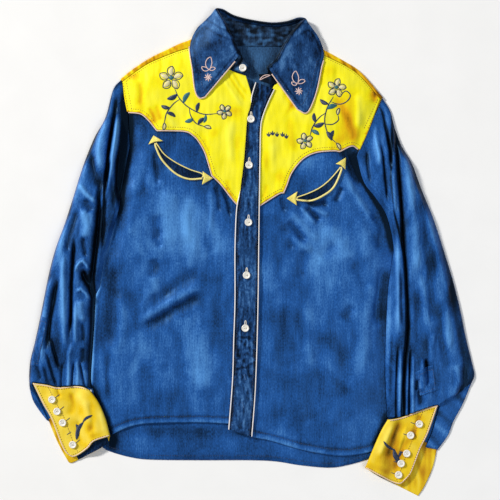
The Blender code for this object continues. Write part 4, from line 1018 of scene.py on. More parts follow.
def stitch_row(line):
    """Cords of one row of machine stitches, each rising out of the cloth and sinking again."""
    length = float(np.linalg.norm(np.diff(line, axis=0), axis=1).sum())
    count = max(int(length / (STITCH + GAP)), 1)
    fine = run(line, count * 5, False)
    dip = np.outer([-0.3, 0.15, 0.15, -0.3], (0, 0, 1.0))
    return [tube(fine[5 * k:5 * k + 4] + dip, THREAD, 5, 0.7) for k in range(count)]


def add_stitches(name, rows, thread):
    """One piece from all the stitches of some rows of points."""
    piece = add_cords(name, [cord for row in rows for cord in stitch_row(row)], thread)


def inside(points, sign, inset):
    """A curve through a table's rows, moved to one side by a distance."""
    line = run(points, 160, False)
    return line + beside(line, sign) * inset


def yoke_face(x, y):
    """Height of the upper face of a yoke."""
    return yoke_level(x, y) + ON_TOP


def front_face(x, y):
    """Height of the upper face of the fronts."""
    return lie(x, y) + ON_TOP


right_swept = shaped(RIGHT_YOKE, YOKE_CORNERS["right"], 300)
left_swept = shaped(LEFT_YOKE, YOKE_CORNERS["left"], 300)
rows = [inside(right_swept[6:-6], 1, 4.6), inside(left_swept[4:-4], -1, 4.6)]
for points, sign, low, high in ((RIGHT_SIDE, 1, 225, 277), (LEFT_SIDE, -1, 167, 249)):
    armhole = run([p for p in points if low <= p[1] <= high], 80)
    rows += [armhole + (sign * 2.4, 0), armhole + (sign * 8.5, 0)]
for points, sign in ((RIGHT_SEAM, 1), (LEFT_SEAM, -1)):
    rows.append(inside(run(points, 80)[4:-3], sign, 2.4))
add_stitches("yoke_topstitching", [on_surface(row, yoke_face) for row in rows], amber_thread)
rows = [inside(run(RIGHT_HEM, 90)[4:], 1, 9.6), inside(run(LEFT_HEM, 90)[:-3], 1, 9.6)]
rows = [on_surface(row, front_face) for row in rows]
tail_row = inside(run(BACK_HEM, 120)[3:-3], 1, 7.0)
rows.append(np.column_stack([tail_row, np.full(len(tail_row), BACK + ON_TOP)]))
add_stitches("hem_topstitching", rows, blue_thread)
rows = [inside(BAND_FREE, -1, -3.0), inside(BAND_SEWN, 1, -3.0)]
add_stitches("band_topstitching", [on_surface(row, lambda x, y: on_band(x, y) + 1.0)
                                   for row in rows], blue_thread)
SPARE_HOLES = [(-10, -198), (-13, -242)]    # buttonholes sewn shut below the last button
bright_thread = sewing_thread("bright blue cotton thread", "#2F6CAE", "#12325A")
rows = [run([(x - 1.0, y + 4.5), (x + 1.5, y - 4.5)], 6) for x, y in SPARE_HOLES]
marks = [tube(on_surface(row, lambda x, y: on_band(x, y) + 1.1), 1.0, 6, 0.7) for row in rows]
add_cords("spare_buttonholes", marks, bright_thread)

# ---------------------------------------------------------------------------------------
# Embroidery of the yokes: a prairie spray on each, worked by machine in rayon floss. Petals
# and stems are outlined in chain stitch, leaves are filled with satin stitch.
SPRAYS = {      # stems; leaves and petals as base x, y, heading in degrees, length, width
    "right": {
        "stems": [[(-122, 262), (-113, 244), (-98, 230), (-76, 220), (-52, 221)],
                  [(-113, 244), (-124, 236), (-134, 222), (-138, 206)],
                  [(-98, 230), (-96, 218), (-88, 206), (-74, 200)]],
        "leaves": [(-117, 252, 205, 18, 8), (-107, 238, 60, 19, 8), (-129, 230, 165, 14, 7),
                   (-134, 222, 335, 15, 7), (-92, 213, 200, 14, 7), (-84, 204, 45, 14, 7),
                   (-86, 224, 75, 15, 7), (-72, 219, 255, 13, 6)],
        "flowers": [(-127, 277, 19, 12), (-42, 224, 12, 40)],
        "buds": [(-138, 206, 262, 11, 5), (-74, 200, 345, 11, 5)],
    },
    "left": {
        "stems": [[(131, 248), (121, 230), (117, 208), (124, 186), (136, 174)],
                  [(119, 222), (108, 214), (98, 200), (94, 186)],
                  [(126, 240), (140, 236), (152, 240), (158, 250), (151, 257), (143, 251)],
                  [(118, 204), (130, 204), (139, 211), (138, 219)]],
        "leaves": [(123, 236, 150, 15, 7), (121, 228, 20, 17, 8), (116, 206, 195, 17, 8),
                   (103, 207, 100, 15, 7), (96, 194, 330, 14, 7), (120, 192, 300, 16, 8),
                   (127, 181, 70, 14, 7)],
        "flowers": [(136, 262, 15, 0), (86, 177, 13, 25)],
        "buds": [(138, 219, 75, 11, 5), (136, 174, 300, 12, 5)],
    },
}
TUFTS = [(29, 184), (35, 186), (42, 184), (51, 184), (57, 181)]    # leaf tufts beside the band
navy_floss = silk_stitch("navy rayon floss", "#17345C", "#081326")
teal_floss = silk_stitch("teal rayon floss", "#2C7A86", "#123E48")
cream_floss = silk_stitch("cream rayon floss", "#F1E9B4", "#C9BB78")


def outline(points, level, radius=0.62, ends=0.5):
    """Cord of chain stitch along a plan curve, finer towards its ends."""
    line = run(points, 4 * len(points))
    t = np.linspace(-1, 1, len(line))
    return tube(on_surface(line, level), radius * (1 - ends * np.abs(t) ** 4), 6, 0.6)


def leaf_line(x, y, heading, long, bend=0.10):
    """Slightly bent middle line of a leaf, as points in plan."""
    t = np.linspace(0, 1, 11)[:, None]
    turn = math.radians(heading)
    along, across = np.array([math.cos(turn), math.sin(turn)]), np.array([-math.sin(turn),
                                                                          math.cos(turn)])
    return (x, y) + along * long * t + across * long * bend * np.sin(math.pi * t)


def filled_leaf(x, y, heading, long, wide, level):
    """Leaf or petal of satin stitch, padded along its middle and pointed at both ends."""
    t = np.linspace(0, 1, 11)
    radius = wide / 2 * np.sin(math.pi * (0.05 + 0.9 * t)) ** 0.8
    return tube(on_surface(leaf_line(x, y, heading, long), level), radius, 8, 0.32)


def leaf_outline(x, y, heading, long, wide, level, radius=0.8):
    """Closed loop of chain stitch round a leaf or petal."""
    middle = leaf_line(x, y, heading, long)
    width = wide / 2 * np.sin(math.pi * np.linspace(0, 1, 11))[:, None] ** 0.7
    across = beside(middle, 1)
    loop = np.vstack([middle + across * width, (middle - across * width)[::-1]])
    return outline(loop, level, radius, 0.0)


def flower(x, y, size, turn, level):
    """Outlined petals, their fillings and the heart of a five-petalled prairie flower."""
    petals, fillings = [], []
    for k in range(5):
        heading = turn + 72 * k
        at = (x + 0.22 * size * math.cos(math.radians(heading)),
              y + 0.22 * size * math.sin(math.radians(heading)))
        petals.append(leaf_outline(*at, heading, 0.8 * size, 0.62 * size, level))
        fillings.append(filled_leaf(*at, heading, 0.72 * size, 0.42 * size, level))
    heart = filled_leaf(x - 0.2 * size, y, 0, 0.4 * size, 0.4 * size,
                        lambda a, b: level(a, b) + 0.3)
    return petals, fillings, heart


cords = {"navy": [], "teal": [], "cream": []}
for spray in SPRAYS.values():
    cords["navy"] += [outline(stem, yoke_face, 0.95) for stem in spray["stems"]]
    for number, row in enumerate(spray["leaves"]):
        cords["teal" if number % 3 == 1 else "navy"].append(filled_leaf(*row, yoke_face))
    for row in spray["flowers"]:
        petals, fillings, heart = flower(*row, yoke_face)
        cords["navy"] += petals
        cords["cream"] += fillings
        cords["teal"].append(heart)
    for row in spray["buds"]:
        cords["navy"].append(leaf_outline(*row, yoke_face))
        cords["cream"].append(filled_leaf(*row[:3], row[3] * 0.9, row[4] * 0.5, yoke_face))
for x, y in TUFTS:
    for lean, long in ((62, 6), (92, 8), (124, 7)):
        cords["navy"].append(filled_leaf(x, y, lean, long, 2.4, yoke_face))
for colour, floss in (("navy", navy_floss), ("teal", teal_floss), ("cream", cream_floss)):
    piece = add_cords(f"yoke_embroidery_{colour}", cords[colour], floss)

# ---------------------------------------------------------------------------------------
# Sleeves: each a tube of blue satin laid flat, gathered in small pleats into its cuff, with
# a tail of cloth that runs on past the cuff flap beside the slit. Long hard folds hang from
# the shoulder to the cuff, where the spare width of the sleeve has collapsed.
SLEEVE_LOFT = 12.5      # height of a sleeve's arch above its resting place
OVERLAP = 1.0           # sleeve cloth that runs under the body at their seams
SLEEVE_OUTER = {
    "right": [(-211, 277), (-220, 260), (-232, 216), (-250, 183), (-268, 138), (-285, 84),
              (-298, 44), (-312, 6), (-321, -27), (-329, -65), (-337, -106), (-345, -143),
              (-352, -171), (-354, -192), (-354, -206)],
    "left": [(213, 247), (222, 226), (230, 197), (241, 169), (257, 142), (273, 99), (292, 52),
             (312, -10), (324, -50), (335, -95), (343, -135), (353, -176), (357, -196),
             (351, -210)],
}
SLEEVE_TAIL = {     # past the flap: outer edge, then the edge beside the flap
    "right": ([(-354, -206), (-353, -218), (-348, -236), (-339, -251), (-326, -268)],
              [(-351, -208), (-343, -229), (-336, -243), (-330, -256), (-325, -266)]),
    "left": ([(351, -210), (338, -242), (323, -270), (315, -291), (298, -315)],
             [(302, -242), (296, -264), (290, -286), (284, -300), (279, -311)]),
}
CUFF_TOP = {        # sewn edge of the upper layer, flap side first
    "right": [(-348, -207), (-326, -210), (-308, -214), (-285, -212), (-268, -213),
              (-257, -218)],
    "left": [(298, -243), (283, -247), (260, -255), (240, -262), (219, -265)],
}
CUFF_LAP = {        # free edge of the lower layer
    "right": [(-324, -271), (-312, -297), (-301, -319), (-291, -336)],
    "left": [(297, -318), (293, -335), (287, -353), (276, -376), (267, -389)],
}
UNDERARM = {"right": (-195, 170), "left": (170, 153)}
SLEEVE_CREASE_SHADES = {  # painted shade, almost black, in the tightest creases: its depth, then as in the folds
    "right": [(-0.55, 1.5, 2.0, [(-214, 250), (-224, 183), (-229, 142), (-233, 106), (-236, 53),
                                 (-246, 0), (-251, -48), (-250, -95), (-252, -143), (-257, -202),
                                 (-262, -262)])],
    "left": [(-0.5, 1.3, 1.6, [(226, 268), (224, 171), (222, 118), (227, 65), (235, 34),
                               (243, -8), (247, -60)]),
             (-0.5, 1.4, 1.6, [(232, 196), (234, 129), (237, 94), (242, 17), (246, -28),
                               (249, -78), (251, -119), (247, -160), (245, -262), (242, -380)])],
}
SLEEVE_FOLDS = {    # height, half width west and east, points from the top down
    "right": [
        (-9.0, 6.4, 8.0, [(-199, 270), (-200, 242), (-202, 205), (-204, 176), (-208, 140),
                          (-213, 96), (-217, 66)]),
        (4.0, 3.0, 3.4, [(-210, 216), (-213, 186), (-220, 140), (-229, 98), (-236, 66)]),
        (-6.5, 2.1, 3.8, [(-215, 256), (-218, 225), (-222, 198), (-227, 162), (-230, 135),
                          (-235, 100)]),
        (-7.0, 4.4, 4.0, [(-236, 146), (-242, 87), (-241, 68), (-244, 39), (-250, -18), (-253, -38),
                          (-252, -71), (-253, -127), (-255, -175), (-262, -300)]),
        (3.4, 7.2, 8.3, [(-230, 218), (-238, 186), (-242, 156), (-238, 126)]),
        (3.2, 3.5, 5.1, [(-211, 225), (-214, 202), (-219, 164), (-223, 138)]),
        (-4.4, 2.6, 3.8, [(-225, 151), (-229, 113), (-233, 73), (-236, 33), (-236, -2)]),
        (2.4, 2.6, 3.2, [(-219, 148), (-218, 119), (-215, 89), (-214, 68), (-222, 42)]),
        (-3.4, 7.2, 6.4, [(-254, 161), (-250, 132), (-244, 100)]),
        (3.6, 3.8, 3.5, [(-274, 110), (-264, 96), (-246, 79)]),
        (-2.6, 6.4, 6.4, [(-264, 86), (-261, 74), (-253, 63)]),
        (3.2, 6.4, 6.4, [(-266, 71), (-260, 42), (-263, 20)]),
        (-3.2, 3.5, 3.8, [(-267, 26), (-266, 10), (-263, -9)]),
        (-3.0, 8.0, 6.4, [(-243, 215), (-254, 183), (-267, 148)]),
        (2.2, 6.4, 6.4, [(-261, 148), (-274, 113), (-285, 74)]),
        (-2.4, 4.8, 4.8, [(-274, 74), (-286, 33), (-296, -6)]),
        (2.4, 7.2, 7.2, [(-290, 65), (-306, 10), (-315, -38)]),
        (-6.0, 2.4, 3.8, [(-281, 30), (-284, -15), (-286, -49), (-287, -95), (-289, -134)]),
        (3.4, 6.4, 4.5, [(-296, 20), (-298, -31), (-298, -82), (-295, -140), (-293, -166)]),
        (-4.6, 4.8, 3.2, [(-305, -38), (-311, -62), (-315, -86), (-319, -105), (-322, -135),
                          (-327, -159)]),
        (2.2, 4.8, 4.8, [(-318, -38), (-325, -76), (-332, -118)]),
        (-3.6, 2.4, 2.9, [(-319, -134), (-314, -156), (-304, -190)]),
        (-3.2, 2.2, 2.6, [(-327, -156), (-321, -178), (-309, -218)]),
        (2.0, 3.2, 3.2, [(-331, -137), (-334, -166), (-331, -191)]),
        (-2.2, 2.6, 2.9, [(-338, -150), (-333, -175), (-321, -216)]),
        (3.6, 2.1, 2.4, [(-278, -31), (-276, -22), (-271, -15), (-266, -14), (-261, -20),
                         (-256, -30)]),
        (-6.4, 4.2, 5.8, [(-270, -25), (-266, -39), (-257, -55), (-252, -73)]),
        (3.0, 2.2, 2.6, [(-278, -63), (-270, -58), (-261, -66), (-256, -76)]),
        (2.8, 5.6, 5.6, [(-270, -73), (-270, -95), (-267, -111)]),
        (-2.6, 2.9, 3.2, [(-269, -111), (-266, -127), (-267, -143)]),
        (2.6, 3.5, 3.5, [(-278, -76), (-279, -118), (-278, -150)]),
        (3.2, 3.2, 3.2, [(-283, -140), (-289, -162), (-291, -228)]),
        (-3.6, 2.1, 2.2, [(-282, -172), (-285, -190), (-288, -228)]),
        (2.2, 2.6, 2.6, [(-277, -166), (-275, -188), (-277, -230)]),
        (-3.8, 2.2, 2.4, [(-274, -172), (-270, -191), (-262, -230)]),
        (-3.0, 3.8, 3.8, [(-267, -150), (-268, -162), (-269, -178)]),
        (-2.4, 2.1, 2.2, [(-299, -172), (-302, -191), (-303, -232)]),
        (-2.2, 3.2, 3.2, [(-344, -159), (-341, -182), (-334, -207)]),
        (2.4, 3.8, 3.8, [(-264, -185), (-262, -198), (-261, -217)]),
    ],
    "left": [
        (-5.0, 2.1, 3.2, [(203, 238), (210, 222), (216, 193), (221, 161), (222, 132)]),
        (-3.8, 1.9, 2.9, [(206, 180), (210, 151), (213, 119), (217, 78)]),
        (-6.6, 2.6, 3.8, [(229, 262), (232, 164), (234, 129), (237, 94), (242, 17), (246, -28),
                          (248, -78), (249, -119), (247, -146), (244, -177), (242, -217),
                          (242, -380)]),
        (2.6, 3.8, 3.2, [(198, 209), (200, 177), (205, 135)]),
        (2.8, 3.5, 3.5, [(225, 135), (227, 100), (228, 58)]),
        (-2.6, 2.6, 2.6, [(184, 164), (186, 138), (190, 110)]),
        (2.6, 6.4, 6.4, [(243, 164), (251, 116), (258, 62)]),
        (-1.4, 8.0, 8.0, [(235, 186), (251, 148), (270, 90)]),
        (2.4, 8.0, 8.0, [(254, 84), (261, 26), (264, -31)]),
        (-1.2, 8.0, 8.0, [(270, 90), (282, 20), (290, -40)]),
        (1.8, 6.4, 6.4, [(276, 84), (299, -6), (314, -80)]),
        (-1.3, 8.0, 7.4, [(280, 10), (286, -50), (294, -110)]),
        (1.8, 5.1, 6.4, [(268, -30), (276, -82), (284, -140)]),
        (-1.0, 5.6, 5.6, [(256, -40), (262, -102), (266, -150)]),
        (1.6, 6.4, 6.4, [(302, -54), (311, -102), (316, -160)]),
        (-1.3, 6.4, 6.4, [(294, -80), (302, -134), (314, -186)]),
        (-1.4, 4.8, 4.8, [(314, -40), (331, -124), (344, -190)]),
        (1.8, 4.8, 4.8, [(288, -124), (286, -156), (286, -178)]),
        (2.8, 3.8, 4.2, [(232, 33), (233, -15), (234, -76), (234, -134)]),
        (-2.2, 3.2, 3.2, [(238, -25), (238, -76), (240, -118)]),
        (-4.6, 1.4, 2.1, [(234, -143), (232, -172), (231, -210), (231, -292)]),
        (2.6, 2.6, 2.4, [(238, -150), (237, -191), (237, -282)]),
        (-4.6, 1.4, 2.1, [(254, -145), (252, -178), (251, -220), (252, -288)]),
        (2.4, 2.4, 2.4, [(258, -156), (257, -194), (258, -280)]),
        (2.4, 2.6, 2.2, [(248, -156), (247, -191), (247, -280)]),
        (-5.2, 2.6, 2.9, [(278, -167), (279, -188), (282, -214)]),
        (-2.6, 3.2, 3.2, [(264, -201), (263, -210), (262, -220)]),
        (2.2, 2.9, 2.9, [(272, -166), (272, -194), (274, -223)]),
        (-2.6, 4.0, 4.0, [(269, -217), (270, -230), (270, -246)]),
        (2.0, 4.8, 4.8, [(326, -172), (330, -204), (322, -233)]),
        (-2.6, 4.8, 4.8, [(341, -175), (341, -210), (328, -242)]),
        (2.0, 3.5, 3.5, [(221, -60), (219, -118), (218, -185)]),
        (-1.8, 2.6, 2.6, [(225, -124), (223, -182), (222, -242)]),
    ],
}
ROWS, HALF, UNDER_HALF, TAIL = 216, 108, 54, 22     # rows, columns of each layer, tail's rows
TAIL_COLS = {"right": 16, "left": 35}   # columns across the tail


def spread(count):
    """Shares across a sleeve, closer together at its rounded edges."""
    even = np.linspace(0, 1, count + 1)
    return 0.5 * even + 0.25 * (1 - np.cos(math.pi * even))


def sleeve_layout(side):
    """Plan of the upper layer, the lower layer and the two edges of the tail."""
    sign = -1 if side == "right" else 1
    body = RIGHT_SIDE if side == "right" else LEFT_SIDE
    under = UNDERARM[side]
    armhole = [p for p in body if p[1] >= under[1]][::-1]
    armhole = run(np.array(armhole) - (sign * OVERLAP, 0), 400)
    start, under_start = (armhole[(spread(n) * 400).astype(int)] for n in (HALF, UNDER_HALF))
    outer = run([tuple(start[0])] + SLEEVE_OUTER[side][1:], ROWS)
    seam = [p for p in body if p[1] < under[1] and p[1] > CUFF_TOP[side][-1][1] + 4]
    corner = CUFF_TOP[side][-1]
    meets = np.interp(corner[1], *np.array(body)[:, ::-1].T)
    inner = np.array([under] + seam[::-1] + [(meets, corner[1] + 1.2)]) - (sign * OVERLAP, 0)
    inner = run(inner, ROWS)
    edge, flap = (run(line, TAIL) for line in SLEEVE_TAIL[side])
    near = TAIL_COLS[side]
    sewn = run(np.array(CUFF_TOP[side]) + (0, 1.0), HALF - near)
    end = np.vstack([run([edge[0], sewn[0]], near)[:-1], sewn])
    end[-1] = inner[-1]
    top = patch(outer, inner, start, end, spread(HALF))
    lap = np.array(CUFF_LAP[side][0], float) + (0, 1.4)
    flat_end = np.vstack([edge, run([lap, (lap + inner[-1]) / 2 + (0, 1.4), inner[-1]],
                                    UNDER_HALF - TAIL - 1)])
    bottom = patch(outer, inner, under_start, flat_end, spread(UNDER_HALF))
    return top, bottom, edge, flap


def sleeve_surface(side, top):
    """Height of the upper layer: a low arch, creased, and flat where it is sewn."""
    s = np.linspace(0, 1, top.shape[0])[:, None]
    w = spread(HALF)[None, :]
    full = (1 - np.exp(-(s / 0.10) ** 2)) * (1 - 0.45 * np.exp(-((1 - s) / 0.10) ** 2))
    arch = np.sqrt(np.clip(1 - (2 * w - 1) ** 4, 0, 1))
    x, y = top[..., 0], top[..., 1]
    creased = folds(x, y, SLEEVE_FOLDS[side])
    creased = 1.4 * creased + 0.9 * ripple(x, y, (13, 46), 31) + 0.35 * ripple(x, y, (5, 18), 32)
    height = SLEEVE_LOFT * arch * full + creased * arch * np.minimum(1, 0.35 + full)
    height = np.maximum(height, 1.2 * arch)
    return REST + height * np.clip(arch * 1.6, 0, 1), creased


def arc(grid):
    """Pattern coordinates of a grid in mm: across it, and along its rows."""
    across = np.linalg.norm(np.diff(grid, axis=1), axis=2)
    across = np.concatenate([np.zeros((len(grid), 1)), np.cumsum(across, axis=1)], axis=1)
    along = np.linalg.norm(np.diff(grid, axis=0), axis=2).mean(axis=1)
    along = np.concatenate([[0], np.cumsum(along)])
    middle = grid.shape[1] // 2
    return np.dstack([across - across[:, middle:middle + 1],
                      np.broadcast_to(along[:, None], across.shape)])


sleeve_tops = {}
for side in ("right", "left"):
    top, bottom, edge, flap = sleeve_layout(side)
    near = TAIL_COLS[side]
    high, creased = sleeve_surface(side, top)
    low = np.full(bottom.shape[:2], BACK)
    low[:, 0] = low[:, -1] = BACK + 0.5 * (REST - BACK)
    low[-1, :TAIL + 1] = BACK + 1.2
    high[:, 0], high[:, -1] = low[:, 0], low[:, -1]
    top, bottom = np.dstack([top, high]), np.dstack([bottom, low])
    top[-1, 0] = bottom[-1, 0]
    rows = [top[-1, :near + 1]]
    for r in range(1, TAIL + 1):
        share = np.linspace(0, 1, near + 1)[1:]
        spots = edge[r] + (flap[r] - edge[r]) * share[:, None]
        arch = 2.8 * share ** 0.6 * (1 - 0.5 * r / TAIL)
        rows.append(np.vstack([bottom[-1, r][None],
                               np.column_stack([spots, BACK + 1.2 + arch])]))
    tail = np.stack(rows)
    grids = [top, bottom[:, ::-1], tail]
    w = spread(HALF)[None, :]
    # Painted highlight on fold ridges and painted shade in fold valleys, the almost black painted
    # crease shade, uneven tone and painted shade along the outer edge; the lower layer plain;
    # diagonal streaks of painted highlight and shade on the tail.
    shade_wears = [0.43 + np.where(creased > 0, 0.094, 0.09) * creased
             + folds(top[..., 0], top[..., 1], SLEEVE_CREASE_SHADES[side])
             + 0.1 * ripple(top[..., 0], top[..., 1], (30, 60), 40)
             - 0.3 * np.exp(-(w / 0.05) ** 2),
             np.full(bottom.shape[:2], 0.4),
             0.4 + 0.2 * ripple(tail[..., 0] + tail[..., 1], tail[..., 1], (13, 44), 41)]
    if side == "right":
        grids = [g[:, ::-1] for g in grids]
        shade_wears = [f[:, ::-1] for f in shade_wears]
    sleeve = add_cloth(f"satin_sleeve_{side}", grids, blue_satin, shade_wears=shade_wears,
                       patterns=[arc(g) for g in grids])
    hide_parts(f"sleeve_{side}")
    sleeve_tops[side] = top

# ---------------------------------------------------------------------------------------
# Cuffs: deep folded bands of yellow satin, interfaced, lined with navy satin, and closed
# with small buttons in a row down the pointed flap. The hand end stands a little open.
CUFF_OPEN = 6.0         # between the two layers of a cuff
CUFF_FLAP = {       # free edge of the upper layer
    "right": [(-348, -208), (-332, -241), (-319, -264), (-304, -303), (-297, -317), (-290, -324)],
    "left": [(298, -243), (283, -286), (271, -311), (263, -332), (255, -352), (247, -362)],
}
CUFF_LIP = {        # hand edge of the upper layer, flap side first
    "right": [(-290, -324), (-283, -326), (-272, -321), (-259, -311), (-249, -300), (-225, -292)],
    "left": [(247, -362), (238, -369), (224, -366), (204, -355), (182, -343)],
}
CUFF_UNDER_LIP = {  # hand edge of the lower layer, lap side first
    "right": [(-291, -336), (-283, -335), (-255, -320), (-239, -311), (-228, -303), (-225, -292)],
    "left": [(267, -389), (237, -374), (204, -357), (182, -343)],
}
CUFF_BUTTONS = {
    "right": [(-317, -234), (-309, -253), (-300, -271), (-284, -306)],
    "left": [(268, -273), (254, -291), (248, -320), (239, -336), (235, -354)],
}
CUFF_FOLDS = {      # height, half width west and east, points from the top down
    "right": [
        (-1.8, 2, 3, [(-309, -213), (-308, -222), (-304, -232)]),
        (-1.6, 5, 6, [(-288, -222), (-284, -240), (-290, -262)]),
        (1.8, 6, 7, [(-276, -220), (-262, -246), (-252, -278)]),
        (-1.8, 4, 5, [(-256, -236), (-252, -262), (-254, -288)]),
        (-1.6, 4, 4, [(-276, -266), (-276, -286), (-270, -306)]),
        (1.4, 3, 3, [(-240, -250), (-236, -270), (-232, -286)]),
    ],
    "left": [
        (-1.6, 4, 4, [(270, -256), (262, -280), (258, -300)]),
        (2.0, 4, 4, [(226, -272), (214, -298), (202, -326)]),
        (-2.0, 4, 6, [(238, -266), (226, -296), (216, -330)]),
        (-1.4, 4, 4, [(246, -296), (236, -322), (228, -350)]),
        (1.2, 3, 3, [(250, -272), (240, -300), (232, -330)]),
    ],
}
CUFF_SHADES = {     # depth of painted amber shade, a painted highlight below 0, centre, half width and half height, lean in degrees
    "right": [(0.16, -262, -252, 9, 22, 30), (0.20, -256, -284, 6, 22, 24),
              (0.18, -286, -230, 4, 16, 12), (0.16, -270, -306, 12, 6, 0),
              (0.16, -312, -222, 4, 10, 30), (0.2, -247, -290, 10, 4, 20)],
    "left": [(0.24, 246, -300, 9, 40, -22), (0.30, 222, -330, 16, 18, -22),
             (0.32, 228, -290, 7, 26, -24), (0.20, 266, -262, 14, 5, -12),
             (0.20, 208, -346, 14, 5, -22), (0.18, 288, -250, 8, 5, 0),
             (-0.22, 206, -298, 5, 30, -24), (-0.20, 248, -292, 4, 26, -24),
             (0.2, 256, -286, 4, 9, 60), (0.2, 246, -322, 4, 9, 60)],
}
LINING_FROM = {"right": 0.20, "left": 0.45}    # share of the width where the lining starts
WORN = {"right": 0.12, "left": 0.0}    # how much the yellow of a whole cuff has faded
LINING_AREA = {"right": 0.0056, "left": 0.0038}     # in square metres
CUFF_ROWS, CUFF_COLS = 60, 76
CUFF_ROW = 4            # columns and rows of the cuff's grid from its edge to its topstitching
STRIP_ROW = {"right": 19, "left": 22}   # the same to the row on the other side of the buttons
CUFF_LEAF = {       # slender leaf: base x, y, heading in degrees, length, width
    "right": [(-278, -298, 68, 30, 8.5), (-268, -271, 38, 20, 5.0), (-273, -282, 125, 10, 5.0)],
    "left": [(240, -338, 116, 28, 8.5), (229, -315, 140, 24, 5.0), (236, -326, 60, 10, 5.0)],
}
CUFF_HOLES = {      # middles and headings of the buttonholes
    "right": [(-309, -229, 40), (-301, -248, 40), (-292, -266, 40), (-290, -288, 35),
              (-276, -301, 40)],
    "left": [(258, -272, 160), (246, -290, 160), (240, -318, 160), (231, -334, 160),
             (227, -352, 160)],
}


def cuff_base(side, x, y):
    """Rise of a cuff where it lies on the corner of the body."""
    body = run(RIGHT_SIDE if side == "right" else LEFT_SIDE, 80)
    edge = np.interp(y, body[:, 1], body[:, 0])
    over = (x - edge) if side == "right" else (edge - x)
    step = np.clip((over + 26) / 22, 0, 1)
    return BACK + (REST + CLOTH + 2.4) * step * step * (3 - 2 * step) + (DOUBLE - CLOTH) / 2


def level_of(grid, above):
    """Height function of a laid piece, read from the nearest points of its own grid."""
    spots = grid.reshape(-1, 3)

    def level(x, y):
        """Height at points of the plan."""
        away = ((np.ravel(x)[:, None] - spots[:, 0]) ** 2
                + (np.ravel(y)[:, None] - spots[:, 1]) ** 2)
        weight = 1 / (away + 0.02) ** 2
        return (weight @ spots[:, 2] / weight.sum(axis=1)).reshape(np.shape(x)) + above
    return level


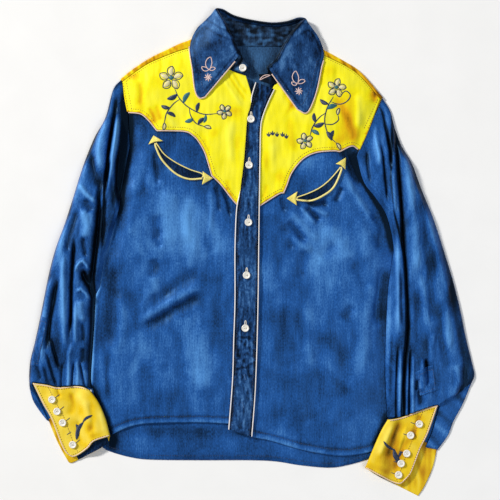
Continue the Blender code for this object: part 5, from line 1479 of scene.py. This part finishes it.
# Cuff satin colours: painted dark amber shade, deep, body, and the pale of wear and painted
# highlight.
gold_satin = satin("aged yellow satin", "#6A4408", "#BE8412", "#EDC820", "#FEEC6C", 0.40, 0.3)
cuff_cords = {"navy": [], "stitches": [], "holes": []}
for side, area in LINING_AREA.items():
    fold = run(CUFF_FOLD[side], CUFF_ROWS)
    top = patch(run(CUFF_FLAP[side], CUFF_ROWS), fold, run(CUFF_TOP[side], CUFF_COLS),
                run(CUFF_LIP[side], CUFF_COLS))
    lap = run([tuple(np.array(CUFF_LAP[side][0]) + (0, 4.0))] + CUFF_LAP[side][1:], CUFF_ROWS)
    bottom = patch(lap, fold, run([tuple(lap[0]), CUFF_FOLD[side][0]], CUFF_COLS),
                   run(CUFF_UNDER_LIP[side], CUFF_COLS))
    w = np.linspace(0, 1, CUFF_COLS + 1)[None, :]
    s = np.linspace(0, 1, CUFF_ROWS + 1)[:, None]
    x, y = top[..., 0], top[..., 1]
    turned = 0.5 - 0.5 * np.sqrt(1 - w ** 14)
    creased = folds(x, y, CUFF_FOLDS[side]) + 0.35 * ripple(x, y, (12, 16), 50)
    held = (1 - np.exp(-(w / 0.08) ** 2)) * (1 - w ** 8)
    high = cuff_base(side, x, y) + CUFF_OPEN * (1 - turned) + creased * held
    low = cuff_base(side, bottom[..., 0], bottom[..., 1]) + CUFF_OPEN * turned
    upper, lower = np.dstack([top, high]), np.dstack([bottom, low])
    grid = np.concatenate([upper, lower[:, -2::-1]], axis=1)
    # Painted highlight on crease ridges, painted shade in their valleys and along the folded edge,
    # uneven blotches and the painted amber ovals; on the lap, uneven tone and painted shade near
    # its top, where it gathers.
    shade_wear = 0.58 + 0.12 * creased - 0.1 * np.exp(-((1 - w) / 0.06) ** 2)
    shade_wear = shade_wear - 0.12 * np.clip(ripple(x, y, (16, 22), 51), 0, 1)
    shade_wear = painted_ovals(shade_wear, x, y, CUFF_SHADES[side])
    gather_shade = np.exp(-(s / 0.16) ** 2)
    lap_shade_wear = 0.42 + 0.2 * ripple(bottom[..., 0], bottom[..., 1], (8, 26), 52) - 0.2 * gather_shade
    shade_wear = np.concatenate([shade_wear + WORN[side], lap_shade_wear[:, -2::-1]], axis=1)
    if side == "right":
        grid, shade_wear = grid[::-1], shade_wear[::-1]
    cuff = add_cloth(f"satin_cuff_{side}", [grid], gold_satin, DOUBLE_WALL, shade_wears=[shade_wear])
    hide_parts(f"cuff_{side}")
    inner = lower[:, int(LINING_FROM[side] * CUFF_COLS):-8].copy()
    inner[..., 2] += 1.0
    inner = inner[::-1] if side == "right" else inner
    facing = add_cloth(f"cuff_lining_{side}", [inner], navy_satin, 0.5,
                       shade_wears=[inner[..., 2] * 0 + 0.16])
    inner_edge = np.vstack([upper[0, 1:-3][::-1], upper[:, 0], upper[-1, 1:-1]])
    away = beside(inner_edge, -1 if side == "right" else 1)
    route = inner_edge[:, :2] - away * (SEAM + CORD / 2)
    line = np.column_stack([route, inner_edge[:, 2]])
    piping = add_cords(f"piping_of_cuff_{side}", [tube(line, CORD / 2, 8)], peach_piping)
    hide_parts(f"piping_cuff_{side}")

    face = level_of(upper, DOUBLE / 2)
    for number, (x, y) in enumerate(CUFF_BUTTONS[side], 1):
        add_button(f"cuff_button_{side}_{number}", f"button_cuff_{side}_{number}", x, y,
                   level_of(upper, 0))
    sewn = np.vstack([upper[CUFF_ROW // 2, CUFF_ROW:-CUFF_ROW][::-1],
                      upper[CUFF_ROW // 2:-CUFF_ROW // 2 - 1, CUFF_ROW],
                      upper[-CUFF_ROW // 2 - 1, CUFF_ROW:-CUFF_ROW]])
    strip = upper[CUFF_ROW // 2:-CUFF_ROW // 2, STRIP_ROW[side]]
    cuff_cords["stitches"] += stitch_row(sewn + (0, 0, DOUBLE / 2))
    cuff_cords["stitches"] += stitch_row(strip + (0, 0, DOUBLE / 2))
    cuff_cords["navy"] += [filled_leaf(*row, face) for row in CUFF_LEAF[side]]
    for x, y, heading in CUFF_HOLES[side]:
        middle = leaf_line(x, y, heading, 8.0, 0.0) - (leaf_line(0, 0, heading, 4.0, 0.0)[-1])
        cuff_cords["holes"].append(outline(middle, face, 0.6))
for key, name, floss in (("navy", "cuff_embroidery", navy_floss),
                         ("stitches", "cuff_topstitching", amber_thread),
                         ("holes", "cuff_buttonholes", blue_thread)):
    piece = add_cords(name, cuff_cords[key], floss)

# ---------------------------------------------------------------------------------------
# Collar: a long-pointed leaf of navy satin, piped in peach, that rolls over a low stand and
# lies on the yokes in front. Behind the neck its fold stands up and the leaf lies under it.
COLLAR = [  # roll x, y, z, edge x, y, and 0 in front of the neck to 1 behind and under it
    (-19, 312, 19, -74, 248, 0.0),
    (-22, 320, 19, -82, 247, 0.0),
    (-26, 328, 20, -88, 259, 0.0),
    (-34, 346, 21, -92, 290, 0.0),
    (-44, 366, 20, -97, 328, 0.0),
    (-55, 386, 14, -89, 352, 0.15),
    (-45, 386, 9, -74, 365, 1.0),
    (-28, 377, 8, -45, 347, 1.0),
    (-2, 370, 8, -3, 336, 1.0),
    (32, 365, 8, 32, 336, 1.0),
    (58, 367, 8, 64, 343, 1.0),
    (76, 372, 9, 90, 359, 1.0),
    (86, 371, 14, 106, 345, 0.15),
    (78, 361, 19, 116, 318, 0.0),
    (66, 347, 20, 111, 294, 0.0),
    (55, 329, 20, 105, 264, 0.0),
    (44, 308, 19, 98, 241, 0.0),
    (36, 300, 19, 88, 223, 0.0),
    (28, 292, 18, 75, 228, 0.0),
]
STAND_SEAM = [  # neck seam under each collar station
    (-30, 291), (-36, 294), (-42, 298), (-54, 309), (-63, 322), (-67, 336), (-62, 343), (-46, 333),
    (-3, 329), (35, 329), (64, 329), (80, 336), (86, 338), (84, 328), (79, 311), (69, 295),
    (58, 283), (51, 277), (44, 272),
]
STAND_ENDS = {  # seam x, y, top x, y of the free end past the first and the last station
    "first": [(-7, 284, -5, 299), (-16, 286, -11, 305)],
    "last": [(33, 268, 26, 285), (15, 272, 12, 283)],
}
COLLAR_BUTTON = (-13, 293)
COLLAR_HOLE = (14, 274, 24, 18, 3.4)       # buttonhole in the other end of the stand
COLLAR_SPRIGS = {   # outlined leaves, then the middle of a star below them
    "right": ([(-66, 290, 84, 20, 10), (-67, 290, 158, 12, 6), (-65, 289, 20, 9, 5)],
              (-68, 278)),
    "left": ([(74, 268, 98, 20, 10), (75, 268, 22, 12, 6), (73, 267, 160, 9, 5)], (76, 256)),
}
STAR_RAYS, STAR_SIZE = 8, 6.5
STEPS = 10              # points between two stations
LEAF_ROWS = 5           # rows of points between two control rows
STAND_ROWS, STAND_TURN = 19, 12     # rows of the stand, and columns at each of its free ends


def smooth_at(values, at):
    """Cubic interpolation of rows of values at fractional row numbers."""
    padded = np.concatenate([[2 * values[0] - values[1]], values, [2 * values[-1] - values[-2]]])
    low = np.minimum(at.astype(int), len(values) - 2)
    t = (at - low).reshape(-1, *[1] * (values.ndim - 1))
    return cubic(*(padded[low + k] for k in range(4)), t)


stations = np.linspace(0, len(COLLAR) - 1, STEPS * (len(COLLAR) - 1) + 1)
line = smooth_at(np.array(COLLAR, float), stations)
seam = smooth_at(np.array(STAND_SEAM, float), stations)
roll, edge, under = line[:, :3], line[:, 3:5], np.clip(line[:, 5], 0, 1)
rest = lie(edge[:, 0], edge[:, 1]) + YOKE + CLOTH / 2 + LAYER + DOUBLE / 2
edge_z = rest * (1 - under) + DOUBLE / 2 * under
inward = beside(roll[:, :2], -1)
rows = [np.column_stack([roll[:, :2] + inward * 2.0, roll[:, 2] - 2.2 + 1.4 * under])]
for v, turned, out in ((0.0, 1.0, 0.0), (0.06, 0.55, 3.6), (0.13, 0.12, 3.0), (0.27, 0.0, 0.0),
                       (0.5, 0.0, 0.0), (0.75, 0.0, 0.0), (1.0, 0.0, 0.0)):
    share = (1 - v) ** 1.15 * (1 - under) + turned * under
    place = roll[:, :2] + (edge - roll[:, :2]) * v - inward * (out * under)[:, None]
    rows.append(np.column_stack([place, edge_z + (roll[:, 2] - edge_z) * share]))
leaf = smooth_at(np.stack(rows), np.linspace(0, 7, 7 * LEAF_ROWS + 1))
x, y = leaf[..., 0], leaf[..., 1]
down = np.clip(np.arange(leaf.shape[0]) / LEAF_ROWS - 1, 0, 6)[:, None] / 6
soft = 0.5 * ripple(x, y, (16, 22), 60) * np.sin(math.pi * down) * (1 - under)[None, :]
leaf[..., 2] += soft
# Leaf's painted light and tone: uneven mottle, painted highlight on the crests of its soft waves
# and along the roll, painted shade just under the roll and under the fold behind the neck, and
# darker in a line 5.5 mm inside its edges in front.
mottled = 0.12 * ripple(x, y, (9, 14), 61) + 0.07 * ripple(x, y, (4, 7), 62)
shade_wear = 0.44 + 0.16 * soft + mottled + 0.16 * np.exp(-((down - 0.2) / 0.2) ** 2)
shade_wear = shade_wear - 0.4 * np.exp(-(down / 0.07) ** 2) - 0.2 * under[None, :]
at_rows = [LEAF_ROWS, 4 * LEAF_ROWS, 7 * LEAF_ROWS]
rim = least_reach(x, y, leaf[-1, ::4, :2], leaf[at_rows, 0, :2], leaf[at_rows, -1, :2])
shade_wear = shade_wear - 0.22 * np.exp(-((rim - 5.5) / 1.7) ** 2) * (1 - under)[None, :]
collar = add_cloth("satin_collar_leaf", [leaf], navy_satin, DOUBLE_WALL, shade_wears=[shade_wear])
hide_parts("collar_leaf")
reach_right, reach_left = 8 * STEPS // 2, 9 * STEPS // 2
for side, point in (("right", leaf[:, :reach_right + 1]), ("left", leaf[:, :-reach_left - 2:-1])):
    rim = np.vstack([point[3 * LEAF_ROWS:, 0], point[-1, 1:]])
    away = beside(rim, -1 if side == "right" else 1)
    line = np.column_stack([rim[:, :2] - away * (SEAM + CORD / 2), rim[:, 2]])
    piping = add_cords(f"piping_of_collar_{side}", [tube(line, CORD / 2, 8)], peach_piping)
    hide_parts(f"piping_collar_{side}")

top = np.column_stack([roll[:, :2] + inward * (4.2 + 1.2 * under)[:, None],
                       roll[:, 2] - 6.4 + 2.6 * under])
foot = lie(seam[:, 0], seam[:, 1]) + YOKE + 0.3
foot = foot * (1 - under) + (REST + 0.9) * under
low = np.column_stack([seam, foot])
ends = {}
for key, places in STAND_ENDS.items():
    ends[key] = []
    for sx, sy, tx, ty in places:
        z = float(lie(np.array([sx]), np.array([sy]))[0]) + BAND
        ends[key].append((np.array([sx, sy, z]), np.array([tx, ty, z + 0.6])))
sides = []
for which, middle in ((0, low), (1, top)):
    before = np.vstack([[e[which] for e in ends["first"]], middle[:1]])
    after = np.vstack([middle[-1:], [e[which] for e in ends["last"]]])
    sides.append(np.vstack([run(before, STAND_TURN)[:-1], middle, run(after, STAND_TURN)[1:]]))
share = np.linspace(0, 1, STAND_ROWS)[:, None]
stand = sides[0] + (sides[1] - sides[0]) * share[..., None]
x, y = stand[..., 0], stand[..., 1]
creased = 0.6 * ripple(x, y, (12, 5), 63) + 0.5 * ripple(x, y, (6, 9), 64)
stand[..., 2] += creased * np.sin(math.pi * share)
tucked_end = np.clip((np.arange(stand.shape[1]) - stand.shape[1] + 18) / 4, 0, 1)[None, :]
# painted highlight on the stand's crease ridges and painted shade in their valleys, darker towards
# its top edge, and painted shade on the end that tucks under
stand_piece = add_cloth("satin_collar_stand", [stand], washed_satin, DOUBLE_WALL,
                        shade_wears=[0.24 + 0.34 * creased - 0.1 * share - 0.4 * tucked_end])
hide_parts("collar_stand")
add_button("collar_button", "button_collar", *COLLAR_BUTTON,
           lambda x, y: lie(x, y) + BAND + 0.6)
pink_floss = silk_stitch("pale pink rayon floss", "#F6DCD6", "#C49C98")
front_leaf = leaf[:, under < 0.3]
leaf_face = level_of(front_leaf, DOUBLE / 2)
sprigs = [leaf_outline(*COLLAR_HOLE, level_of(stand, DOUBLE / 2 + 0.3), 0.7)]
for leaves, (x, y) in COLLAR_SPRIGS.values():
    sprigs += [leaf_outline(*row, leaf_face, 0.75) for row in leaves]
    for k in range(STAR_RAYS):
        sprigs.append(filled_leaf(x, y, 360 / STAR_RAYS * k, STAR_SIZE, 1.9, leaf_face))
add_cords("collar_embroidery", sprigs, pink_floss)
rows = [leaf[-4, STEPS // 2:reach_right - 4], leaf[-4, -reach_left + 3:-STEPS // 2],
        leaf[2 * LEAF_ROWS:-3, 3], leaf[2 * LEAF_ROWS:-3, -4]]
add_stitches("collar_topstitching", [row + (0, 0, DOUBLE / 2) for row in rows], blue_thread)

# ---------------------------------------------------------------------------------------
# Slit facings: the small stitched patches at the head of each sleeve's wrist slit.
SLEEVE_FACING = {   # shares of the upper layer, down from and to, across from and to, then area
    "right": (0.79, 0.955, 0.045, 0.235, 0.0012),
    "left": (0.865, 0.955, 0.38, 0.60, 0.0013),
}

pale_blue_thread = sewing_thread("faded blue cotton thread", "#3A639C", "#0C1A33")
for side, (from_row, to_row, from_col, to_col, area) in SLEEVE_FACING.items():
    top = sleeve_tops[side]
    rows, cols = top.shape[0] - 1, top.shape[1] - 1
    part = top[int(from_row * rows):int(to_row * rows), int(from_col * cols):int(to_col * cols)]
    part = part.copy()
    part[..., 2] += 0.8
    part = part[:, ::-1] if side == "right" else part
    facing = add_cloth(f"slit_facing_{side}", [part], blue_satin, 0.6,
                       shade_wears=[0.46 + 0.1 * ripple(part[..., 0], part[..., 1], (5, 9), 70)])
    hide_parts(f"sleeve_placket_{side}")
    seen = part + (0, 0, 0.4)
    rows = [seen[3:-3, 1], seen[-3, 1:-1], seen[3:-3, -2][::-1], seen[3, 1:-1]]
    add_stitches(f"slit_facing_stitches_{side}", rows, pale_blue_thread)
